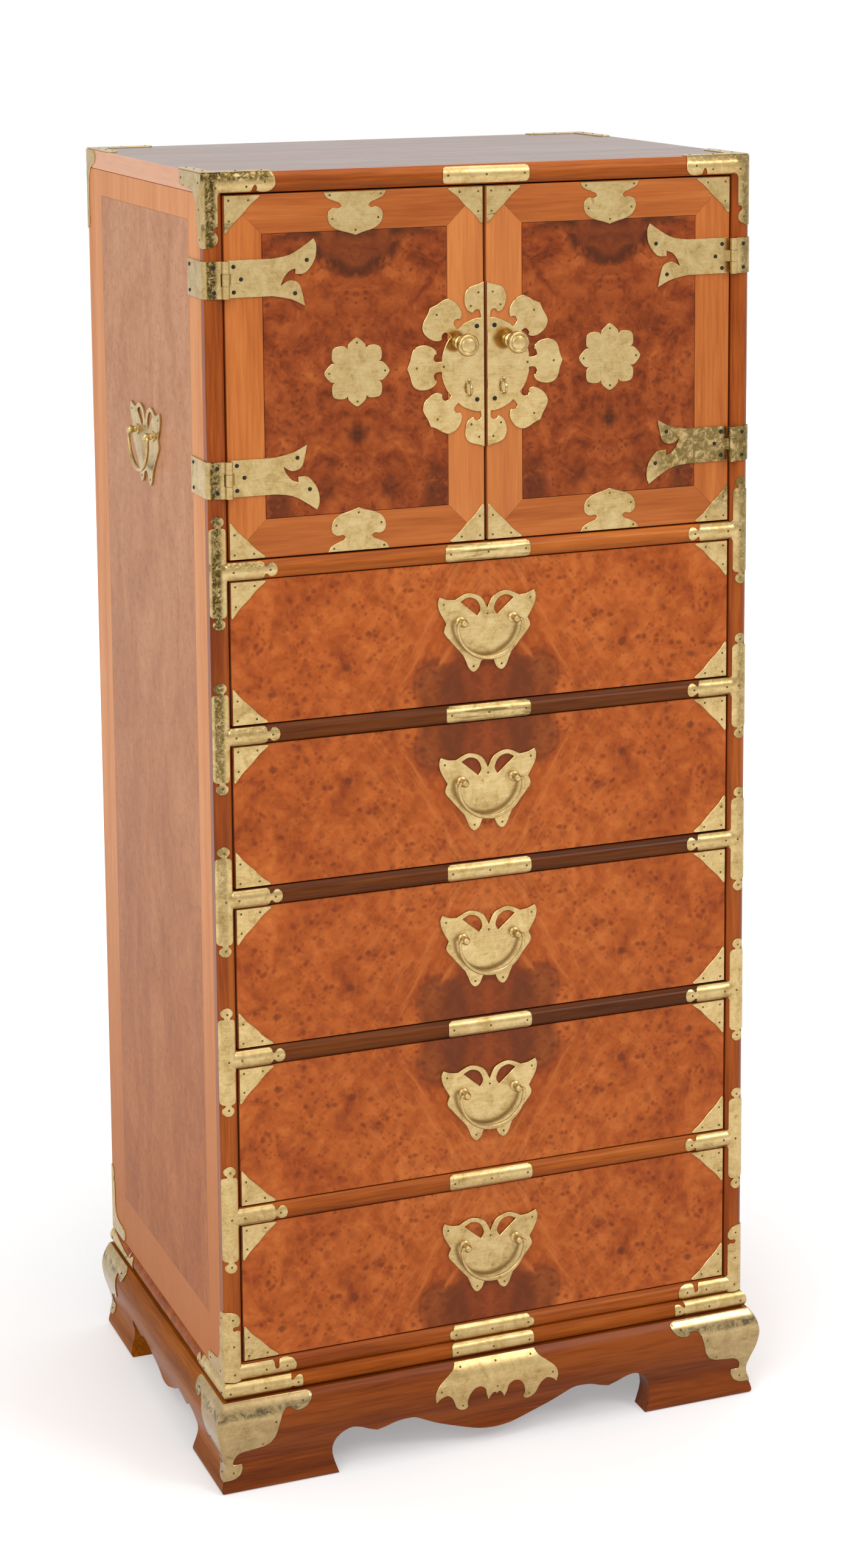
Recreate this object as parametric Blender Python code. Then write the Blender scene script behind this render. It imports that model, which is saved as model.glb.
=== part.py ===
"""A tall narrow chest: two hinged doors over five drawers, on an ogee plinth, with brass fittings.

Metres, +Z up. The front faces -Y and the chest's left side is at -X. The origin is on the floor,
under the middle of the whole piece, knobs included.
"""

import math

import bmesh
import bpy
from mathutils import Matrix, Vector

# Clearances
FIT = 0.0003  # between two pieces that touch
DRAWER_SIDE_GAP = 0.0020  # drawer front to stile, each side
DRAWER_TOP_GAP = 0.0012  # drawer front to rail, above and below
TRAY_SIDE_GAP = 0.0010  # drawer tray to side board
TRAY_BACK_GAP = 0.008  # drawer tray to back panel when shut
DOOR_SIDE_GAP = 0.0020  # door to stile
DOOR_TOP_GAP = 0.0015  # door to rail, above and below
DOOR_MEETING_GAP = 0.0030  # between the two doors
BAIL_GAP = 0.0010  # swinging bail to the side of its post

# Case
CASE_WIDTH = 0.530
CASE_DEPTH = 0.384  # crown of the front frame to the back
CASE_HEIGHT = 1.218  # floor to top, plinth included; the doors take what the drawers leave
STILE_WIDTH = 0.017  # the side boards behind the stiles are as thick
FRAME_DEPTH = 0.014  # stiles and rails, front to back
BEAD_RISE = 0.005  # crown of a stile or rail above its edges
BEAD_STEPS = 8
RAIL_HEIGHT = 0.0165
TOP_HEIGHT = 0.018
BOARD_THICKNESS = 0.010
BACK_THICKNESS = 0.006
DRAWER_COUNT = 5
DRAWER_OPENING = 0.134

# Base
PLINTH_HEIGHT = 0.088
PLINTH_THICKNESS = 0.018
PLINTH_TOP_PROUD = 0.0035
PLINTH_BELLY = 0.0125
PLINTH_HOLLOW = 0.003
PLINTH_FLARE = 0.0078
PLINTH_TOE = 0.0045  # height of the flare above the floor, where the toe turns in
PLINTH_TURN_IN = 0.002
BASE_HEIGHT = 0.016
BASE_PROUD = 0.003
FRONT_FOOT = 0.107  # foot's length along the front, from the case's corner
SIDE_FOOT = 0.087
FRONT_DROP = 0.015  # lowest point of the front apron, above the floor
SIDE_DROP = 0.020
ARCH_RISE = 0.0435
BACK_RAIL_CLEARANCE = 0.030

# Doors
DOOR_THICKNESS = 0.018
DOOR_BORDER = 0.035
DOOR_PANEL_THICKNESS = 0.012
CATCH_WIDTH = 0.050
CATCH_DEPTH = 0.016
CATCH_HEIGHT = 0.012

# Drawers
DRAWER_FRONT_THICKNESS = 0.018
TRAY_HEIGHT = 0.112
TRAY_WALL = 0.010
TRAY_FLOOR = 0.006

# Hinges
PLATE_THICKNESS = 0.0012
HINGE_HEIGHT = 0.033
HINGE_INSET = 0.075  # hinge's middle from the door opening's top or bottom
KNUCKLE_RADIUS = 0.0036
PIN_RADIUS = 0.0016
HINGE_OUT = 0.002  # pin's axis in front of the frame's crown
STRAP_LENGTH = 0.086
LEAF_WRAP = 0.048  # case leaf's reach along the side
ROUND_SIDES = 16

# Lock plate and knobs
LOCK_THICKNESS = 0.0015
LOCK_RADIUS = 0.0435
LOBE_REACH = 0.031
LOBE_WIDTH = 0.040
LOBE_COUNT = 8
KNOB_SPREAD = 0.049  # between the two knobs
KNOB_RISE = 0.021  # above the lock plate's middle
KNOB_LENGTH = 0.024
KNOB_RADIUS = 0.010
KNOB_NECK = 0.0042
KNOB_HEAD = 0.008
STAPLE_SPREAD = 0.034  # between the two eyes that take a bar
STAPLE_DROP = 0.021  # below the lock plate's middle
STAPLE_HEIGHT = 0.015
STAPLE_REACH = 0.009
STAPLE_WIRE = 0.0022

# Butterfly pulls
PULL_WIDTH = 0.097
PULL_HEIGHT = 0.074
PULL_THICKNESS = 0.002
POST_SPACING = 0.052
POST_RADIUS = 0.0034
POST_LENGTH = 0.0105
POST_RISE = 0.011  # above the plate's middle
PIVOT_OUT = 0.007  # bail's axis in front of the plate
BAIL_RADIUS = 0.0016
BAIL_SWELL_RATIO = 1.4  # thickness at the grip over the thickness at the ends
BAIL_DROP = 0.034
SIDE_PULL_HEIGHT = 0.953

# Places worked out from the sizes
HALF_WIDTH = CASE_WIDTH / 2
INNER_HALF = HALF_WIDTH - STILE_WIDTH
FRONT = (KNOB_LENGTH + LOCK_THICKNESS + 2 * FIT - BEAD_RISE - CASE_DEPTH) / 2
BACK = FRONT + CASE_DEPTH
FACE = FRONT + BEAD_RISE  # front of the doors and drawers
BEHIND_FRAME = FRONT + FRAME_DEPTH + FIT
BASE_TOP = PLINTH_HEIGHT + BASE_HEIGHT
DRAWER_PITCH = DRAWER_OPENING + RAIL_HEIGHT
DOOR_LOW = BASE_TOP + RAIL_HEIGHT + DRAWER_COUNT * DRAWER_PITCH
DOOR_HIGH = CASE_HEIGHT - TOP_HEIGHT
SIDE_MIDDLE = (FRONT + BACK) / 2
DOOR_MIDDLE = (DOOR_LOW + DOOR_HIGH) / 2
HINGE_X = INNER_HALF - DOOR_SIDE_GAP / 2
HINGE_Y = FRONT - HINGE_OUT
HINGE_HEIGHTS = {"upper": DOOR_HIGH - HINGE_INSET, "lower": DOOR_LOW + HINGE_INSET}
SIDES = {"left": -1, "right": 1}

# Shapes as shares of the sizes above: each inner list is a smooth run that ends in a corner
BUTTERFLY_SHARES = [
    [(0.00, 0.60), (0.13, 0.89), (0.40, 1.00), (0.66, 0.86)],
    [(0.66, 0.86), (0.81, 0.88), (0.96, 0.96)],
    [(0.96, 0.96), (1.00, 0.83), (0.97, 0.60), (0.83, 0.27)],
    [(0.83, 0.27), (0.88, 0.06), (0.74, -0.19), (0.49, -0.57)],
    [(0.49, -0.57), (0.44, -0.72), (0.38, -0.90), (0.29, -1.00)],
    [(0.29, -1.00), (0.19, -0.92), (0.13, -0.74), (0.00, -0.68)],
]
FEELER_HOLE_SHARES = [
    [(0.20, 0.42), (0.14, 0.58), (0.22, 0.81), (0.39, 0.89), (0.54, 0.80)],
    [(0.54, 0.80), (0.20, 0.42)],
]
STRAP_END_SHARES = [
    [(0.52, 1.00), (0.70, 1.15), (0.85, 1.57), (0.97, 2.00)],
    [(0.97, 2.00), (1.00, 1.60), (0.98, 0.85), (0.88, 0.18), (0.77, 0.13)],
    [(0.77, 0.13), (0.77, 0.42)],
    [(0.77, 0.42), (0.70, 0.28), (0.64, -0.10), (0.61, -0.48)],
    [(0.61, -0.48), (0.70, -0.21), (0.80, -0.35), (0.84, -0.85), (0.87, -1.60)],
    [(0.87, -1.60), (0.72, -1.22), (0.52, -1.00)],
]
CLOUD_LOBE_SHARES = [
    (-0.03, 0.29),
    (0.08, 0.27),
    (0.16, 0.38),
    (0.12, 0.60),
    (0.20, 0.88),
    (0.50, 1.00),
    (0.76, 0.88),
    (0.93, 0.42),
    (1.00, 0.00),
]
KNOB_SHARES = [(1.5, 0.00), (1.5, 0.06), (1.0, 0.12), (1.0, 0.60)]
ARCH_SHOULDER_SHARES = [
    (1.00, 0.00),
    (1.035, 0.45),
    (1.01, 0.80),
    (0.935, 1.00),
    (0.87, 0.975),
    (0.81, 0.875),
    (0.755, 0.80),
]
ARCH_SPAN_SHARES = [(0.755, 0.80), (0.70, 0.85), (0.635, 0.93), (0.575, 0.957), (0.515, 0.94)]
ARCH_TONGUE_SHARES = [(0.44, 0.70), (0.35, 0.46), (0.22, 0.22), (0.10, 0.048), (0.00, 0.00)]


def clear_scene():
    """Starts from an empty scene."""
    for old in list(bpy.data.objects):
        bpy.data.objects.remove(old, do_unlink=True)


def finish(name, colour, roughness, metallic=0.0):
    """A material with one colour."""
    made = bpy.data.materials.new(name)
    made.use_nodes = True
    shader = made.node_tree.nodes["Principled BSDF"]
    shader.inputs["Base Color"].default_value = (*colour, 1.0)
    shader.inputs["Roughness"].default_value = roughness
    shader.inputs["Metallic"].default_value = metallic
    return made


def shaded(mesh):
    """The mesh shaded smooth but for its edges."""
    mesh.shade_smooth()
    mesh.set_sharp_from_angle(angle=math.radians(30))
    return mesh


def mesh_of(bm, name):
    """The bmesh as a closed mesh that faces out."""
    bmesh.ops.remove_doubles(bm, verts=bm.verts, dist=1e-6)
    bmesh.ops.recalc_face_normals(bm, faces=bm.faces)
    mesh = bpy.data.meshes.new(name)
    bm.to_mesh(mesh)
    bm.free()
    return shaded(mesh)


def carrier(name, at):
    """An empty on a joint's axis that its moving pieces are parented to."""
    empty = bpy.data.objects.new(name, None)
    empty.location = at
    bpy.context.scene.collection.objects.link(empty)
    bpy.context.view_layer.update()
    return empty


def add(name, data, look, parent=None, at=(0, 0, 0), turn=0.0):
    """One piece of the chest, placed in the world and then parented."""
    piece = bpy.data.objects.new(name, data)
    piece.location = at
    piece.rotation_euler.z = turn
    data.materials.clear()
    data.materials.append(look)
    bpy.context.scene.collection.objects.link(piece)
    if parent:
        piece.parent = parent
        piece.matrix_parent_inverse = parent.matrix_world.inverted()
    return piece


def curve_through(points, steps):
    """A smooth line through the points, without its last point."""
    line = []
    padded = [points[0], *points, points[-1]]
    for i in range(len(points) - 1):
        before, here, there, after = (Vector(p) for p in padded[i : i + 4])
        for k in range(steps):
            t = k / steps
            line.append(
                0.5
                * (
                    2 * here
                    + (there - before) * t
                    + (2 * before - 5 * here + 4 * there - after) * t**2
                    + (3 * here - before - 3 * there + after) * t**3
                )
            )
    return [tuple(p) for p in line]


def scaled(points, wide, high):
    """Points given as shares, made into sizes."""
    return [(u * wide, v * high) for u, v in points]


def mirrored(half):
    """A closed outline from its right half, which starts and ends on the middle line."""
    return half + [(-u, v) for u, v in reversed(half) if abs(u) > 1e-9]


def circle(radius, sides=ROUND_SIDES, centre=(0, 0)):
    """Points round a circle."""
    turns = [2 * math.pi * k / sides for k in range(sides)]
    return [(centre[0] + radius * math.cos(a), centre[1] + radius * math.sin(a)) for a in turns]


def bead(width, away=0.0, start=-1.0, end=1.0):
    """The rounded front of a stile or rail as (across, depth behind the crown), away from its surface."""
    radius = (width**2 / 4 + BEAD_RISE**2) / (2 * BEAD_RISE)
    reach = math.asin(width / 2 / radius)
    angles = [reach * (start + (end - start) * k / BEAD_STEPS) for k in range(BEAD_STEPS + 1)]
    out = radius + away
    return [(out * math.sin(a), radius - out * math.cos(a)) for a in angles]


def extruded(name, outline, span, axes, holes=()):
    """A prism: an outline in the first two axes, from one end of the span to the other along the third."""
    bm = bmesh.new()
    edges = []
    for loop in [outline, *holes]:
        verts = [bm.verts.new((u, v, 0)) for u, v in loop]
        edges += [bm.edges.new(pair) for pair in zip(verts, verts[1:] + verts[:1])]
    filled = bmesh.ops.triangle_fill(bm, edges=edges, use_beauty=True, use_dissolve=False)
    faces = [g for g in filled["geom"] if isinstance(g, bmesh.types.BMFace)]
    raised = bmesh.ops.extrude_face_region(bm, geom=faces)["geom"]
    far = {v for v in raised if isinstance(v, bmesh.types.BMVert)}
    for v in bm.verts:
        v.co.z = span[1] if v in far else span[0]
    order = Matrix.Identity(3)
    for source, letter in enumerate(axes):
        order["XYZ".index(letter)] = [1.0 if k == source else 0.0 for k in range(3)]
    bm.transform(order.to_4x4())
    return mesh_of(bm, name)


def block(name, low, high):
    """A plain board or block between two corners."""
    low, high = Vector(low), Vector(high)
    bm = bmesh.new()
    bmesh.ops.create_cube(bm, size=1.0)
    size = Matrix.Diagonal((*(high - low), 1.0))
    bm.transform(Matrix.Translation((low + high) / 2) @ size)
    return mesh_of(bm, name)


def turned(name, profile, steps=ROUND_SIDES):
    """A turned piece: (radius, height) points spun about the local Y axis, standing towards -Y."""
    bm = bmesh.new()
    line = [bm.verts.new((r, -h, 0)) for r, h in profile]
    edges = [bm.edges.new(pair) for pair in zip(line, line[1:])]
    bmesh.ops.spin(
        bm,
        geom=line + edges,
        cent=(0, 0, 0),
        axis=(0, 1, 0),
        angle=2 * math.pi,
        steps=steps,
        use_merge=True,
    )
    return mesh_of(bm, name)


def combined(name, base, joins=(), cuts=()):
    """The base mesh with some meshes joined to it and others cut out of it."""
    start = bpy.data.objects.new(name, base)
    helpers = [(mesh, "UNION") for mesh in joins] + [(mesh, "DIFFERENCE") for mesh in cuts]
    made = [start]
    bpy.context.scene.collection.objects.link(start)
    for mesh, operation in helpers:
        tool = bpy.data.objects.new(mesh.name, mesh)
        tool.hide_render = True
        tool.display_type = "WIRE"
        bpy.context.scene.collection.objects.link(tool)
        modifier = start.modifiers.new(operation.lower(), "BOOLEAN")
        modifier.operation = operation
        modifier.solver = "EXACT"
        modifier.object = tool
        made.append(tool)
    bpy.context.view_layer.update()
    graph = bpy.context.evaluated_depsgraph_get()
    result = bpy.data.meshes.new_from_object(start.evaluated_get(graph))
    for helper in made:
        bpy.data.objects.remove(helper, do_unlink=True)
    return shaded(result)


def flipped(mesh, name):
    """A mirror image, left for right."""
    bm = bmesh.new()
    bm.from_mesh(mesh)
    bm.transform(Matrix.Diagonal((-1, 1, 1, 1)))
    return mesh_of(bm, name)


def sliced(mesh, name, point, normal):
    """The part of a mesh that lies behind a plane, closed again."""
    bm = bmesh.new()
    bm.from_mesh(mesh)
    everything = bm.verts[:] + bm.edges[:] + bm.faces[:]
    bmesh.ops.bisect_plane(bm, geom=everything, plane_co=point, plane_no=normal, clear_outer=True)
    rim = [e for e in bm.edges if e.is_boundary]
    bmesh.ops.triangle_fill(bm, edges=rim, use_beauty=True)
    return mesh_of(bm, name)


def build_case(looks):
    """Sides, top, back, front frame and the boards between the openings."""
    for side, sign in SIDES.items():
        edges = sorted((sign * HALF_WIDTH, sign * INNER_HALF))
        board = block(
            f"{side}_side",
            (edges[0], BEHIND_FRAME, BASE_TOP + FIT),
            (edges[1], BACK, DOOR_HIGH - FIT),
        )
        add(f"{side}_side", board, looks["side"])
        middle = sign * (HALF_WIDTH - STILE_WIDTH / 2)
        front = [(middle + across, FRONT + depth) for across, depth in bead(STILE_WIDTH)]
        rear = [(edges[1], FRONT + FRAME_DEPTH), (edges[0], FRONT + FRAME_DEPTH)]
        stile = extruded(f"{side}_stile", front + rear, (BASE_TOP + FIT, CASE_HEIGHT), "XYZ")
        add(f"{side}_stile", stile, looks["frame"])
    top = block("top_panel", (-HALF_WIDTH, BEHIND_FRAME, DOOR_HIGH), (HALF_WIDTH, BACK, CASE_HEIGHT))
    add("top_panel", top, looks["top"])
    across = (-INNER_HALF + FIT, INNER_HALF - FIT)
    back = block(
        "back_panel",
        (across[0], BACK - BACK_THICKNESS, BASE_TOP + FIT),
        (across[1], BACK, DOOR_HIGH - FIT),
    )
    add("back_panel", back, looks["inner"])
    rail = extruded("top_rail", rail_section(DOOR_HIGH, TOP_HEIGHT), across, "YZX")
    add("top_rail", rail, looks["frame"])
    boards = ["case_bottom"]
    boards += [f"drawer_divider_{n}" for n in range(DRAWER_COUNT - 1, 0, -1)]
    boards += ["cabinet_floor"]
    for level, name in enumerate(boards):
        low = BASE_TOP + FIT if level == 0 else BASE_TOP + level * DRAWER_PITCH
        high = BASE_TOP + level * DRAWER_PITCH + RAIL_HEIGHT
        board = extruded(name, board_section(low, high), across, "YZX")
        add(name, board, looks["frame"])


def rail_section(low, height):
    """Section of a rail on its own as (y, z)."""
    front = [(FRONT + depth, low + height / 2 + up) for up, depth in bead(height)]
    return front + [(FRONT + FRAME_DEPTH, low + height), (FRONT + FRAME_DEPTH, low)]


def board_section(low, high):
    """Section of a rail with the board behind it, flush on top, as (y, z)."""
    height = high - low
    front = [(FRONT + depth, low + height / 2 + up) for up, depth in bead(height)]
    rear = BACK - BACK_THICKNESS - FIT
    under = high - BOARD_THICKNESS
    return front + [
        (rear, high),
        (rear, under),
        (FRONT + FRAME_DEPTH, under),
        (FRONT + FRAME_DEPTH, low),
    ]


def build_base_board(looks):
    """The board under the case, with its front and side edges rounded."""
    bm = bmesh.new()
    height = BASE_HEIGHT - FIT
    rings = []
    for up, depth in bead(height):
        x = HALF_WIDTH + BASE_PROUD - depth
        y = FRONT - BASE_PROUD + depth
        z = PLINTH_HEIGHT + FIT + height / 2 + up
        corners = [(-x, y, z), (x, y, z), (x, BACK, z), (-x, BACK, z)]
        ring = [bm.verts.new(c) for c in corners]
        rings.append([bm.edges.new(pair) for pair in zip(ring, ring[1:] + ring[:1])])
    for lower, upper in zip(rings, rings[1:]):
        bmesh.ops.bridge_loops(bm, edges=lower + upper)
    for ring in (rings[0], rings[-1]):
        bmesh.ops.edgeloop_fill(bm, edges=ring)
    add("base_board", mesh_of(bm, "base_board"), looks["plinth"])


def build_plinth_front(looks):
    """The front of the plinth, mitred at both ends, with its apron cut out."""
    reach = HALF_WIDTH + 2 * PLINTH_BELLY
    outline = [(FRONT - proud, z) for proud, z in plinth_section()]
    front = extruded("plinth_front", outline, (-reach, reach), "YZX")
    for sign in SIDES.values():
        corner = (sign * (HALF_WIDTH - FIT), FRONT, 0)
        front = sliced(front, "plinth_front", corner, (sign, 1, 0))
    arch = arch_outline(HALF_WIDTH - FRONT_FOOT, FRONT_DROP)
    through = (FRONT - 2 * PLINTH_BELLY, FRONT + 2 * PLINTH_THICKNESS)
    cutter = extruded("front_arch", arch, through, "XZY")
    add("plinth_front", combined("plinth_front", front, cuts=[cutter]), looks["plinth"])


def build_plinth_sides(looks):
    """The two sides of the plinth, mitred at the front, and the plain board between them at the back."""
    outline = [(HALF_WIDTH + proud, z) for proud, z in plinth_section()]
    side = extruded("plinth_right", outline, (FRONT - 2 * PLINTH_BELLY, BACK), "XZY")
    side = sliced(side, "plinth_right", (HALF_WIDTH + FIT, FRONT, 0), (-1, -1, 0))
    arch = arch_outline(CASE_DEPTH / 2 - SIDE_FOOT, SIDE_DROP)
    arch = [(SIDE_MIDDLE + along, z) for along, z in arch]
    through = (HALF_WIDTH - 2 * PLINTH_THICKNESS, HALF_WIDTH + 2 * PLINTH_BELLY)
    cutter = extruded("side_arch", arch, through, "YZX")
    right = combined("plinth_right", side, cuts=[cutter])
    add("plinth_right", right, looks["plinth"])
    add("plinth_left", flipped(right, "plinth_left"), looks["plinth"])
    inside = HALF_WIDTH - PLINTH_THICKNESS - FIT
    rear = block(
        "plinth_back",
        (-inside, BACK - PLINTH_THICKNESS, BACK_RAIL_CLEARANCE),
        (inside, BACK, PLINTH_HEIGHT),
    )
    add("plinth_back", rear, looks["plinth"])


def plinth_section():
    """The plinth's ogee section as (proud of the case, height)."""
    ogee = [
        (PLINTH_TOP_PROUD, PLINTH_HEIGHT),
        (PLINTH_BELLY * 0.76, PLINTH_HEIGHT * 0.90),
        (PLINTH_BELLY, PLINTH_HEIGHT * 0.75),
        (PLINTH_BELLY * 0.80, PLINTH_HEIGHT * 0.57),
        (PLINTH_BELLY * 0.44, PLINTH_HEIGHT * 0.41),
        (PLINTH_HOLLOW, PLINTH_HEIGHT * 0.26),
        (PLINTH_FLARE, PLINTH_TOE),
        (PLINTH_FLARE - PLINTH_TURN_IN, 0.0),
    ]
    outer = curve_through(ogee, 4) + [ogee[-1]]
    return outer + [(-PLINTH_THICKNESS, 0.0), (-PLINTH_THICKNESS, PLINTH_HEIGHT)]


def arch_outline(half_span, drop):
    """The opening between two feet: shoulders, a cusp each side and a round tongue in the middle."""
    side = scaled(ARCH_SHOULDER_SHARES, half_span, ARCH_RISE)
    span = scaled(ARCH_SPAN_SHARES, half_span, ARCH_RISE)
    span += [(u * half_span, drop + v * (ARCH_RISE - drop)) for u, v in ARCH_TONGUE_SHARES]
    half = curve_through(side, 3) + curve_through(span, 3) + [span[-1]]
    low = (half_span, -PLINTH_THICKNESS)
    return mirrored([(0.0, low[1]), low] + half)


def build_door(side, sign, looks):
    """One door with its panel, hinge straps, half of the lock plate and a knob."""
    axis = carrier(f"{side}_door_axis", (sign * HINGE_X, HINGE_Y, DOOR_MIDDLE))
    outer = INNER_HALF - DOOR_SIDE_GAP
    inner = DOOR_MEETING_GAP / 2
    low, high = DOOR_LOW + DOOR_TOP_GAP, DOOR_HIGH - DOOR_TOP_GAP
    rim = rectangle(sign, inner, outer, low, high, 0.0)
    hole = rectangle(sign, inner, outer, low, high, DOOR_BORDER)
    frame = extruded(f"{side}_door_frame", rim, (FACE, FACE + DOOR_THICKNESS), "XZY", [hole])
    add(f"{side}_door_frame", frame, looks["border"], axis)
    filling = rectangle(sign, inner, outer, low, high, DOOR_BORDER + FIT)
    panel = extruded(f"{side}_door_panel", filling, (FACE, FACE + DOOR_PANEL_THICKNESS), "XZY")
    add(f"{side}_door_panel", panel, looks["panel"], axis)
    for end, height in HINGE_HEIGHTS.items():
        up = 1 if end == "upper" else -1
        strap = hinge_strap(sign, up)
        add(f"{side}_{end}_hinge_strap", strap, looks["brass"], axis, (sign * HINGE_X, HINGE_Y, height))
        leaf = hinge_leaf(sign)
        add(f"{side}_{end}_hinge_leaf", leaf, looks["brass"], None, (0, 0, height))
    plate = extruded("lock_plate", lock_outline(), (-LOCK_THICKNESS, 0.0), "XZY")
    plate = sliced(plate, f"{side}_lock_plate", (sign * inner, 0, 0), (-sign, 0, 0))
    plate = combined(f"{side}_lock_plate", plate, [staple(sign * STAPLE_SPREAD / 2)])
    add(f"{side}_lock_plate", plate, looks["brass"], axis, (0, FACE - FIT, DOOR_MIDDLE))
    knob = turned(f"{side}_knob", knob_profile())
    place = (sign * KNOB_SPREAD / 2, FACE - LOCK_THICKNESS - 2 * FIT, DOOR_MIDDLE + KNOB_RISE)
    add(f"{side}_knob", knob, looks["brass"], axis, place)


def rectangle(sign, inner, outer, low, high, inset):
    """A door's outline, or one set in from it."""
    xs = (sign * (inner + inset), sign * (outer - inset))
    zs = (low + inset, high - inset)
    return [(xs[0], zs[0]), (xs[1], zs[0]), (xs[1], zs[1]), (xs[0], zs[1])]


def hinge_strap(sign, up):
    """The door's half of a hinge about its pin: middle knuckle, strap and fish tail."""
    lay = FACE - FIT - HINGE_Y  # back of the strap behind the pin's axis
    tail = [p for run in STRAP_END_SHARES for p in curve_through(run, 3)]
    tail = scaled(tail, STRAP_LENGTH, up * HINGE_HEIGHT / 2)
    root = DOOR_SIDE_GAP + PIN_RADIUS
    edge = up * HINGE_HEIGHT / 2
    end = (0.52 * STRAP_LENGTH, -edge)
    outline = [(root, -edge), (root, edge)] + tail + [end]
    outline = [(-sign * x, z) for x, z in outline]
    sheet = extruded("strap_sheet", outline, (lay - PLATE_THICKNESS, lay), "XZY")
    third = HINGE_HEIGHT / 6 - FIT
    barrel = extruded("strap_barrel", circle(KNUCKLE_RADIUS), (-third, third), "XYZ")
    web = [(0.0, 0.0), (KNUCKLE_RADIUS * 0.9, 0.0), (root + KNUCKLE_RADIUS, lay - PLATE_THICKNESS / 2)]
    web += [(root, lay - PLATE_THICKNESS / 3)]
    web = [(-sign * x, y) for x, y in web]
    neck = extruded("strap_neck", web, (-third, third), "XYZ")
    bore = extruded("pin_bore", circle(PIN_RADIUS + FIT), (-HINGE_HEIGHT, HINGE_HEIGHT), "XYZ")
    return combined("hinge_strap", sheet, [barrel, neck], [bore])


def hinge_leaf(sign):
    """The case's half of a hinge: a sheet bent round the stile, two knuckles and the pin."""
    middle = HALF_WIDTH - STILE_WIDTH / 2
    clear = HINGE_X + KNUCKLE_RADIUS + 2 * FIT
    under = bent_sheet(FIT, clear)
    over = bent_sheet(FIT + PLATE_THICKNESS, clear)
    outline = [(sign * x, y) for x, y in under + over[::-1]]
    half = HINGE_HEIGHT / 2
    sheet = extruded("leaf_sheet", outline, (-half, half), "XYZ")
    pin = extruded(
        "leaf_pin", circle(PIN_RADIUS, centre=(sign * HINGE_X, HINGE_Y)), (-half, half), "XYZ"
    )
    third = HINGE_HEIGHT / 6
    tabs = []
    for low, high in ((-half, -third), (third, half)):
        ring = circle(KNUCKLE_RADIUS, centre=(sign * HINGE_X, HINGE_Y))
        tabs.append(extruded("leaf_barrel", ring, (low, high), "XYZ"))
        flap = [
            (sign * HINGE_X, FRONT - FIT - PLATE_THICKNESS),
            (sign * middle, FRONT - FIT - PLATE_THICKNESS),
            (sign * middle, FRONT - FIT),
            (sign * HINGE_X, FRONT - FIT),
        ]
        tabs.append(extruded("leaf_flap", flap, (low, high), "XYZ"))
    return combined("hinge_leaf", sheet, tabs + [pin])


def bent_sheet(away, inner):
    """One face of the leaf, from near the pin over the stile's crown and along the side."""
    middle = HALF_WIDTH - STILE_WIDTH / 2
    over = [(middle + across, FRONT + depth) for across, depth in bead(STILE_WIDTH, away, 0.0)]
    side = [(HALF_WIDTH + away, FACE + away), (HALF_WIDTH + away, FRONT + LEAF_WRAP)]
    return [(inner, FRONT - away)] + over + side


def lock_outline():
    """The round lock plate with cloud-shaped lobes round it."""
    half_lobe = [(LOCK_RADIUS + r * LOBE_REACH, t * LOBE_WIDTH / 2) for r, t in CLOUD_LOBE_SHARES]
    rising = curve_through(half_lobe, 2) + [half_lobe[-1]]
    lobe = [(r, -t) for r, t in rising] + [(r, t) for r, t in reversed(rising[:-1])]
    between = 2 * math.pi / LOBE_COUNT
    edge = math.atan2(half_lobe[0][1], half_lobe[0][0])
    rim = [(LOCK_RADIUS, edge + (between - 2 * edge) * k / 4) for k in (1, 2, 3)]
    arc = [(r * math.cos(a), r * math.sin(a)) for r, a in rim]
    outline = []
    for n in range(LOBE_COUNT):
        c, s = math.cos(n * between), math.sin(n * between)
        outline += [(c * x - s * z, s * x + c * z) for x, z in lobe + arc]
    return outline


def staple(x):
    """An eye that stands out of the lock plate, with its lower end inside the plate."""
    arc = [math.pi * k / 8 for k in range(9)]
    ring = []
    for inset in (0.0, STAPLE_WIRE):
        high, out = STAPLE_HEIGHT / 2 - inset, STAPLE_REACH - inset
        bow = [(-LOCK_THICKNESS - out * math.sin(a), -STAPLE_DROP - high * math.cos(a)) for a in arc]
        ends = [(-LOCK_THICKNESS / 2, bow[-1][1]), (-LOCK_THICKNESS / 2, bow[0][1])]
        ring.append(bow + ends)
    return extruded("staple", ring[0] + ring[1][::-1], (x - STAPLE_WIRE / 2, x + STAPLE_WIRE / 2), "YZX")


def knob_profile():
    """A knob's turned outline: foot, neck and a domed head."""
    neck = [(r * KNOB_NECK, h * KNOB_LENGTH) for r, h in KNOB_SHARES]
    under = KNOB_LENGTH - KNOB_HEAD
    head = [
        (KNOB_RADIUS * 0.85, under),
        (KNOB_RADIUS, under + KNOB_HEAD * 0.35),
        (KNOB_RADIUS * 0.95, under + KNOB_HEAD * 0.75),
        (KNOB_RADIUS * 0.60, KNOB_LENGTH),
    ]
    return [(0.0, 0.0)] + neck + head + [(0.0, KNOB_LENGTH)]


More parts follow.
